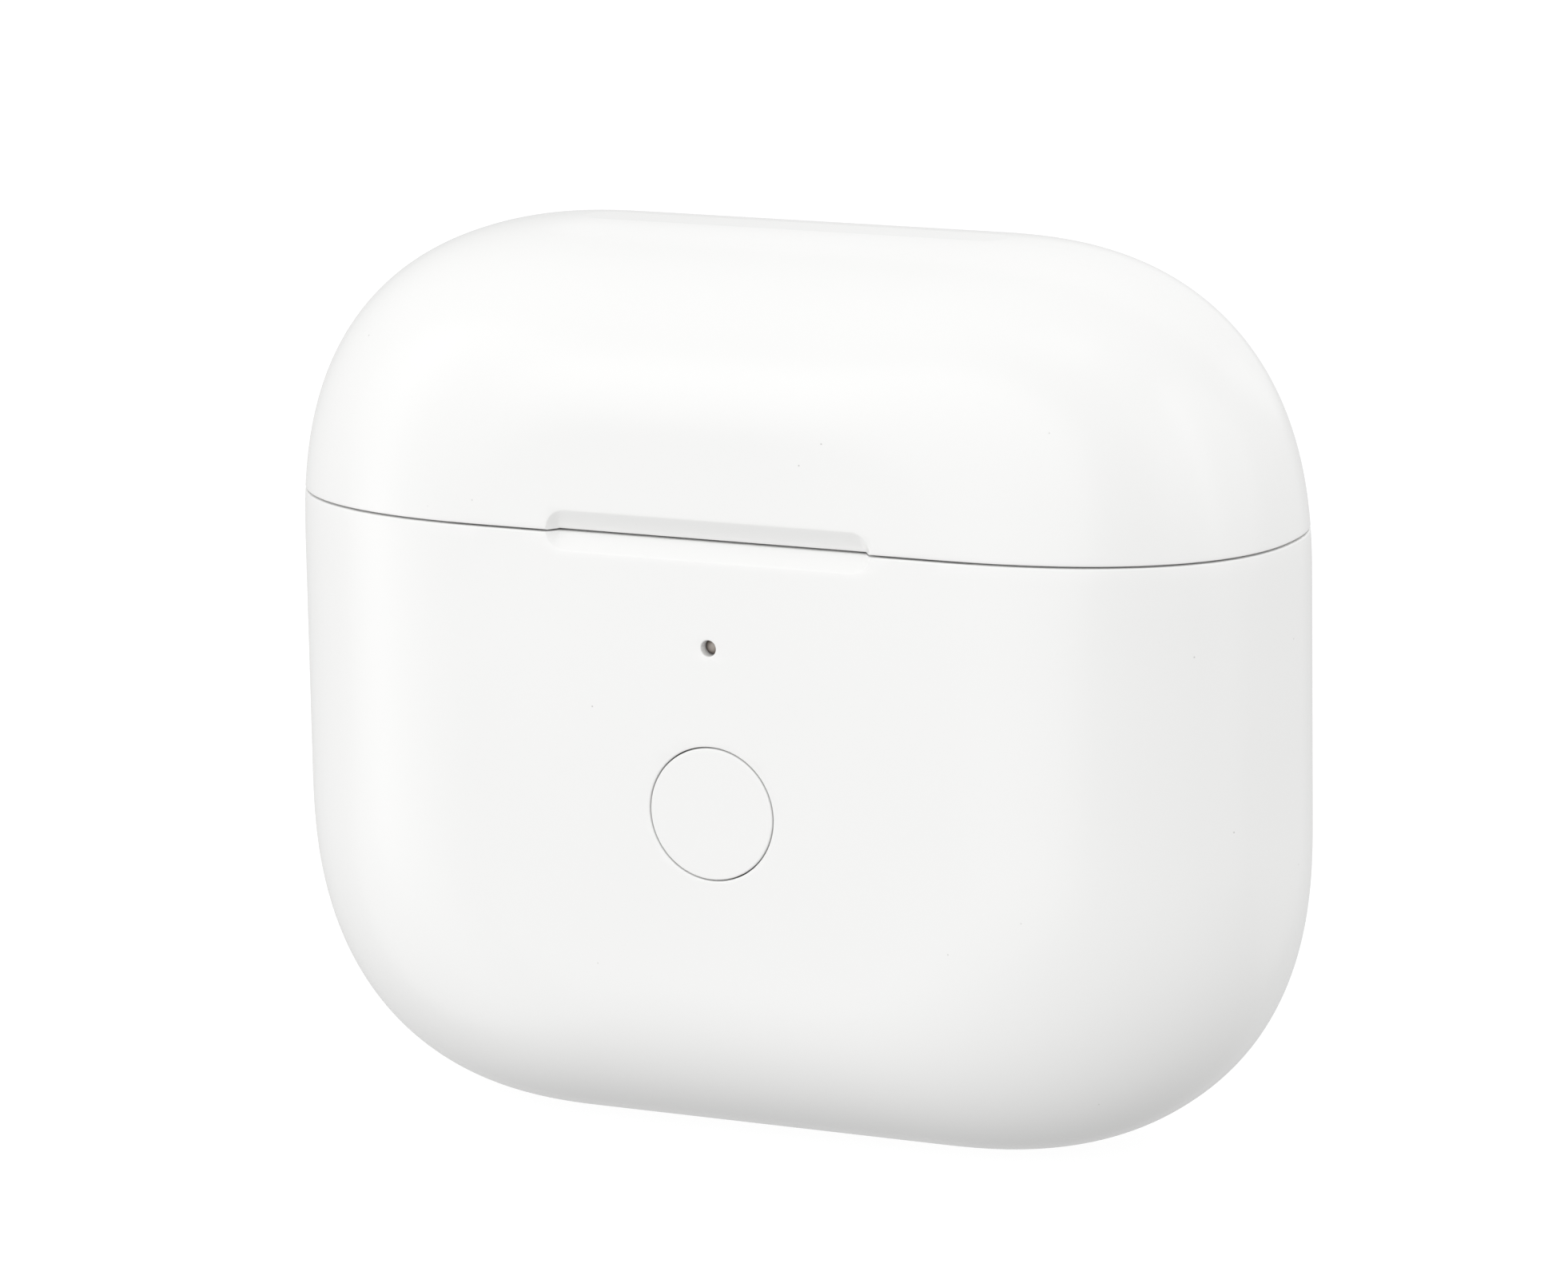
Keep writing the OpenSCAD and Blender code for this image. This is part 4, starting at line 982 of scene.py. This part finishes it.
# Ground steel: brighter and smoother, with hardly a line.
pin_steel = worked_metal("ground steel pin", "#C4C3C1", 0.15, 0.03, "x", 0.0005)
dress(eased("hinge_pin", "hinge_pin_rod", 0.06), pin_steel, "base", "steel", "hinge_pin")

# ---------------------------------------------------------------- screws
# Six small cross-recess screws with rolled threads: two in each hinge leaf and two in
# the main board. All point from one face towards the other, along the case's depth.
screw_plan, given = new_plan("screw pair", {
    "Spacing": 11.0 * MM, "Height z": 0.0, "Head face y": 0.0, "Points back": 1.0,
    "Head radius": 0.9 * MM, "Head height": 0.4 * MM, "Shank radius": 0.45 * MM, "Length": 2.6 * MM,
    "Thread pitch": 0.3 * MM, "Thread depth": 0.07 * MM, "Recess width": 0.22 * MM, "Recess reach": 1.1 * MM})
head = add_node(screw_plan, "GeometryNodeMeshCone", {"fill_type": "NGON"}, {
    "Vertices": 48, "Radius Top": given["Shank radius"], "Radius Bottom": given["Head radius"],
    "Depth": given["Head height"]})
slots = []
for turn in (0, math.pi / 2):
    size = add_node(screw_plan, "ShaderNodeCombineXYZ", {}, {
        "X": given["Recess reach"], "Y": given["Recess width"], "Z": given["Head height"]}).outputs[0]
    slot = add_node(screw_plan, "GeometryNodeMeshCube", {}, {"Size": size})
    slots.append(add_node(screw_plan, "GeometryNodeTransform", {}, {
        "Geometry": slot.outputs[0], "Rotation": (0, 0, turn)}))
recessed = add_node(screw_plan, "GeometryNodeMeshBoolean", {
    "operation": "DIFFERENCE", "solver": "EXACT"}, {
    0: head.outputs[0], 1: slots[0].outputs[0]})
screw_plan.links.new(slots[1].outputs[0], recessed.inputs[1])
shank = add_node(screw_plan, "GeometryNodeMeshCylinder", {}, {
    "Vertices": 32, "Radius": given["Shank radius"], "Depth": given["Length"]})
shank_middle = add_node(screw_plan, "ShaderNodeMath", {"operation": "MULTIPLY_ADD"}, {
    0: given["Length"], 1: 0.5, 2: given["Head height"]})
shank_place = add_node(screw_plan, "ShaderNodeCombineXYZ", {}, {"Z": shank_middle.outputs[0]}).outputs[0]
shank_placed = add_node(screw_plan, "GeometryNodeTransform", {}, {
    "Geometry": shank.outputs[0], "Translation": shank_place})
threads = add_node(screw_plan, "ShaderNodeMath", {"operation": "DIVIDE"}, {
    0: given["Length"], 1: given["Thread pitch"]})
helix = add_node(screw_plan, "GeometryNodeCurveSpiral", {}, {
    "Resolution": 28, "Rotations": threads.outputs[0], "Start Radius": given["Shank radius"],
    "End Radius": given["Shank radius"], "Height": given["Length"]})
ridge = add_node(screw_plan, "GeometryNodeCurvePrimitiveCircle", {}, {
    "Resolution": 4, "Radius": given["Thread depth"]})
thread = add_node(screw_plan, "GeometryNodeCurveToMesh", {}, {
    "Curve": helix.outputs[0], "Profile Curve": ridge.outputs[0], "Fill Caps": True})
thread_place = add_node(screw_plan, "ShaderNodeCombineXYZ", {}, {"Z": given["Head height"]}).outputs[0]
thread_placed = add_node(screw_plan, "GeometryNodeTransform", {}, {
    "Geometry": thread.outputs[0], "Translation": thread_place})
screw = add_node(screw_plan, "GeometryNodeJoinGeometry", {}, {"Geometry": recessed.outputs[0]})
screw_plan.links.new(shank_placed.outputs[0], screw.inputs[0])
screw_plan.links.new(thread_placed.outputs[0], screw.inputs[0])
half_turn = add_node(screw_plan, "ShaderNodeMath", {"operation": "MULTIPLY"}, {
    0: given["Points back"], 1: -math.pi / 2})
screw_turn = add_node(screw_plan, "ShaderNodeCombineXYZ", {}, {"X": half_turn.outputs[0]}).outputs[0]
laid = add_node(screw_plan, "GeometryNodeTransform", {}, {
    "Geometry": screw.outputs[0], "Rotation": screw_turn})
first_x = add_node(screw_plan, "ShaderNodeMath", {"operation": "MULTIPLY"}, {
    0: given["Spacing"], 1: -0.5})
first_place = add_node(screw_plan, "ShaderNodeCombineXYZ", {}, {
    "X": first_x.outputs[0], "Y": given["Head face y"], "Z": given["Height z"]}).outputs[0]
screw_spacing = add_node(screw_plan, "ShaderNodeCombineXYZ", {}, {"X": given["Spacing"]}).outputs[0]
pair = add_node(screw_plan, "GeometryNodeMeshLine", {}, {
    "Count": 2, "Start Location": first_place, "Offset": screw_spacing})
placed = add_node(screw_plan, "GeometryNodeInstanceOnPoints", {}, {
    "Points": pair.outputs[0], "Instance": laid.outputs[0]})
close_plan(screw_plan, given, placed.outputs[0])

# Hardened steel with a dark oxide finish: near-black grey, slightly oily.
oxide_steel = worked_metal("dark-oxide hardened steel", "#6A6A6C", 0.32, 0.06, "y", 0.001)


def screw_pair(node, name, body, points_back):
    """The two screws of a node, sized and placed from its box."""
    low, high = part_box(node)
    head_r = (high.z - low.z) / 2
    pair = grow(screw_plan, name, {
        "Spacing": high.x - low.x - 2 * head_r, "Height z": (low.z + high.z) / 2,
        "Head face y": low.y if points_back > 0 else high.y, "Points back": points_back,
        "Head radius": head_r, "Length": high.y - low.y - 0.45 * MM, "Shank radius": head_r * 0.45},
        oxide_steel)
    dress(pair, oxide_steel, body, "screw_steel", node)


screw_pair("base_leaf_screws", "lower_leaf_screws", "base", -1.0)
screw_pair("board_screws", "main_board_screws", "base", 1.0)
screw_pair("lid_leaf_screws", "upper_leaf_screws", "lid", -1.0)

# ---------------------------------------------------------------- lid
# The upper shell, in the same gloss white. Its lower back edge has a rabbet cut in
# over the hinge's width and more, so that it can swing down past the base.
rod_low, rod_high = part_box("hinge_pin")
hinge_y = (rod_low.y + rod_high.y) / 2 / MM
RABBET_TOP = seam + 0.85
RABBET_Y = hinge_y - 0.15


def rabbet_ring(z, inset=0.0):
    """A ring of the lid's skin below the step, its back cut in to the rabbet."""
    ring = skin_ring(z, inset)
    ring[:, 1] = np.minimum(ring[:, 1], RABBET_Y)
    return ring


def step_ring(z, eased_in):
    """A ring just above the rabbet, its back eased in to round the step's edge."""
    ring = skin_ring(z)
    beyond = ring[:, 1] > RABBET_Y
    ring[beyond, 1] = np.maximum(RABBET_Y, ring[beyond, 1] - eased_in)
    return ring


step_start = RABBET_TOP + EDGE_ROUND
lid_skin = [skin_ring(z) for z in levels(step_start, case_h, 60)[::-1]]
for sine, rise in quarter_turn(4):
    lid_skin.append(step_ring(step_start - EDGE_ROUND * sine, EDGE_ROUND * rise))
lid_skin += [rabbet_ring(z) for z in np.linspace(RABBET_TOP, lid_rim + RIM_ROUND, 4)]
for sine, rise in quarter_turn(6):
    lid_skin.append(rabbet_ring(lid_rim + RIM_ROUND - RIM_ROUND * sine, RIM_ROUND * rise))
for sine, rise in quarter_turn(3):
    lid_skin.append(skin_ring(lid_rim + EDGE_ROUND * rise, WALL - EDGE_ROUND + EDGE_ROUND * sine))
lid_lining = [skin_ring(z, WALL) for z in levels(lid_rim + EDGE_ROUND, case_h - WALL, 24)[1:]]
lid_cover = solid("lid_cover", lid_skin + lid_lining)
change_solid(lid_cover, [notch_cutter(), hinge_window_cutter()], "DIFFERENCE")
dress(smooth(lid_cover), gloss_white, "lid", "shell_white", "lid_shell")

# ---------------------------------------------------------------- lid liner
# The white moulding that closes the lid from below, with a pocket for the top of each
# earbud. A magnet bar and the upper hinge leaf are fixed behind it.
liner_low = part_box("lid_liner")[0].z / MM
LID_ENDS = [(14.6, 0.0, 7.32), (10.8, -0.8, 7.02)]      # x, y and radius of the pocket's two balls
LID_BOWL_Z = seam + 2.4
lid_leaf_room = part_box("hinge_lid_leaf")[0].y / MM - 0.1


def lid_pocket_cutter(side):
    """The pocket for the top of one earbud, a dome on upright walls."""
    centre = np.array([14.0, -0.15])

    def distance(points):
        return bowl_distance(points, LID_ENDS, LID_BOWL_Z, True)

    def outline_at(grow, z):
        return cavity_outline(distance, centre, side, grow, z, max(z, liner_low))

    rows = mouth(outline_at, liner_low, 1, WELL_LIP)
    dome_r = LID_ENDS[0][2]
    climb = np.radians(np.linspace(0, 83.5, 30))
    heights = [LID_BOWL_Z - 0.8] + list(LID_BOWL_Z + dome_r * np.sin(climb))
    return solid("pocket", rows + [outline_at(0, z) for z in heights])


liner = merged_copy("lid_liner", "lid_liner_tray")
change_solid(liner, [slab("below", 40, -20, 20, liner_low - 5, liner_low + 0.7)], "DIFFERENCE")
change_solid(liner, [plate("face", liner_low + DECK_T, liner_low + DECK_T, liner_low)], "UNION")
change_solid(liner, [lid_pocket_cutter(-1), lid_pocket_cutter(1),
                     slab("leaf_room", leaf_room_half_x, lid_leaf_room, half_d + 2, seam - 1, 40)],
             "DIFFERENCE")
dress(smooth(liner, 40), inner_white, "lid", "inner_white", "lid_liner")
dress(eased("lid_magnet", "lid_closing_magnet", 0.15, 3), magnet_plate, "lid", "nickel", "lid_magnet")
dress(eased("hinge_lid_leaf", "upper_hinge_leaf", 0.05), hinge_steel, "lid", "steel", "hinge_lid_leaf")

# ---------------------------------------------------------------- studio
# A white card that stands for floor and background, a pale surround that is brighter
# above than below, and broad round soft lights, the strongest in front.
# The camera looks down a little on the case, from the right of its front.
AIM = Vector((-0.94, -0.03, 24.94)) * MM
AZIMUTH, ELEVATION, ROLL = math.radians(25.81), math.radians(12.2), math.radians(-0.994)
DISTANCE = 384.7 * MM
back = Vector((math.sin(AZIMUTH) * math.cos(ELEVATION), -math.cos(AZIMUTH) * math.cos(ELEVATION),
               math.sin(ELEVATION)))
camera = bpy.data.objects.new("camera", bpy.data.cameras.new("camera"))
bpy.context.scene.collection.objects.link(camera)
camera.data.lens = 172.5
camera.data.clip_start = 0.01
camera.location = AIM + back * DISTANCE
camera.rotation_mode = "QUATERNION"
camera.rotation_quaternion = (-back).to_track_quat("-Z", "Y") @ Quaternion((0, 0, 1), ROLL)
bpy.context.scene.camera = camera
bpy.context.scene.view_settings.view_transform = "Standard"

# Matt white card, near paper white, with a faint fibre. It is clear from below, so that the
# foot can be looked at, and the case's own light comes from the surround, not from it.
pale_card, tree = new_material("pale matt card", colour("#F4F4F4"))
place = add_node(tree, "ShaderNodeTexCoord", {}, {}).outputs["Object"]
fibre = add_node(tree, "ShaderNodeTexNoise", {}, {"Vector": place, "Scale": per_mm(0.6)})
card = add_node(tree, "ShaderNodeMix", {"data_type": "RGBA"}, {
    0: fibre.outputs["Fac"], 6: colour("#6E6E6E"), 7: colour("#727272")})
top_side = add_node(tree, "ShaderNodeBsdfPrincipled", {}, {
    "Base Color": card.outputs[2], "Roughness": 0.9, "Specular IOR Level": 0.0,
    "Emission Color": colour("#FFFFFF"), "Emission Strength": 0.9})
underside = add_node(tree, "ShaderNodeBsdfTransparent", {}, {})
facing = add_node(tree, "ShaderNodeNewGeometry", {}, {})
sided = add_node(tree, "ShaderNodeMixShader", {}, {
    0: facing.outputs["Backfacing"], 1: top_side.outputs[0], 2: underside.outputs[0]})
add_node(tree, "ShaderNodeOutputMaterial", {}, {"Surface": sided.outputs[0]})
FLOOR_REACH, FLOOR_Z = 3.0, -0.02 * MM
floor_mesh = bpy.data.meshes.new("floor")
floor_corners = [(x * FLOOR_REACH, y * FLOOR_REACH, FLOOR_Z)
                 for x, y in ((-1, -1), (1, -1), (1, 1), (-1, 1))]
floor_mesh.from_pydata(floor_corners, [], [(0, 1, 2, 3)])
floor_mesh.materials.append(pale_card)
floor = bpy.data.objects.new("floor", floor_mesh)
bpy.context.scene.collection.objects.link(floor)
floor.visible_diffuse = floor.visible_glossy = floor.visible_transmission = floor.visible_shadow = False

# The surround is white where it is seen, and lights the case by its own brightness, which is
# given from straight below, 0, to straight above, 1.
surround = bpy.data.worlds.new("pale surround")
surround.use_nodes = True
tree = surround.node_tree
tree.nodes.clear()
outward = add_node(tree, "ShaderNodeTexCoord", {}, {}).outputs["Generated"]
upward = add_node(tree, "ShaderNodeSeparateXYZ", {}, {0: outward})
climb = add_node(tree, "ShaderNodeMapRange", {}, {"Value": upward.outputs["Z"], 1: -1.0, 2: 1.0})
sky = add_node(tree, "ShaderNodeValToRGB", {}, {"Fac": climb.outputs[0]})
BRIGHTNESS = [(0.0, 0.25), (0.25, 0.7), (0.5, 0.65), (1.0, 1.0)]
while len(sky.color_ramp.elements) < len(BRIGHTNESS):
    sky.color_ramp.elements.new(0.5)
for stop, (share, level) in zip(sky.color_ramp.elements, BRIGHTNESS):
    stop.position = share
    stop.color = (level, level, level, 1)
seen = add_node(tree, "ShaderNodeLightPath", {}, {})
backdrop = add_node(tree, "ShaderNodeMix", {"data_type": "RGBA"}, {
    0: seen.outputs["Is Camera Ray"], 6: sky.outputs[0], 7: (1, 1, 1, 1)})
glow = add_node(tree, "ShaderNodeBackground", {}, {"Color": backdrop.outputs[2], "Strength": 1.0})
add_node(tree, "ShaderNodeOutputWorld", {}, {"Surface": glow.outputs[0]})
bpy.context.scene.world = surround

# Each soft light's direction and height in degrees, its width and height in metres and its
# power in watts. The narrow upright ones give the soft bands at the sides.
LIGHT_DISTANCE = 0.8
for name, azimuth, elevation, wide, tall, power in [
        ("front light", -5, 10, 0.9, 0.9, 1.6), ("front left light", -50, 10, 0.9, 0.9, 0.8),
        ("right light", 95, 15, 0.9, 0.9, 0.8), ("right back light", 140, 0, 0.9, 0.9, 0.4),
        ("back light", 180, 30, 0.9, 0.9, 0.5), ("left strip", -60, 5, 0.16, 0.8, 0.15),
        ("right strip", 85, 20, 0.12, 0.7, 0.15), ("near right strip", 60, 15, 0.12, 0.7, 0.1),
        ("low left light", -60, -25, 0.6, 0.6, 0.45), ("upper right patch", 40, 65, 0.3, 0.3, 0.1)]:
    lamp = bpy.data.lights.new(name, "AREA")
    lamp.shape, lamp.size, lamp.size_y, lamp.energy = "ELLIPSE", wide, tall, power
    light = bpy.data.objects.new(name, lamp)
    bpy.context.scene.collection.objects.link(light)
    a, e = math.radians(azimuth), math.radians(elevation)
    away = Vector((math.sin(a) * math.cos(e), -math.cos(a) * math.cos(e), math.sin(e)))
    light.location = AIM + away * LIGHT_DISTANCE
    light.rotation_mode = "QUATERNION"
    light.rotation_quaternion = (-away).to_track_quat("-Z", "Y")
    light.visible_camera = False
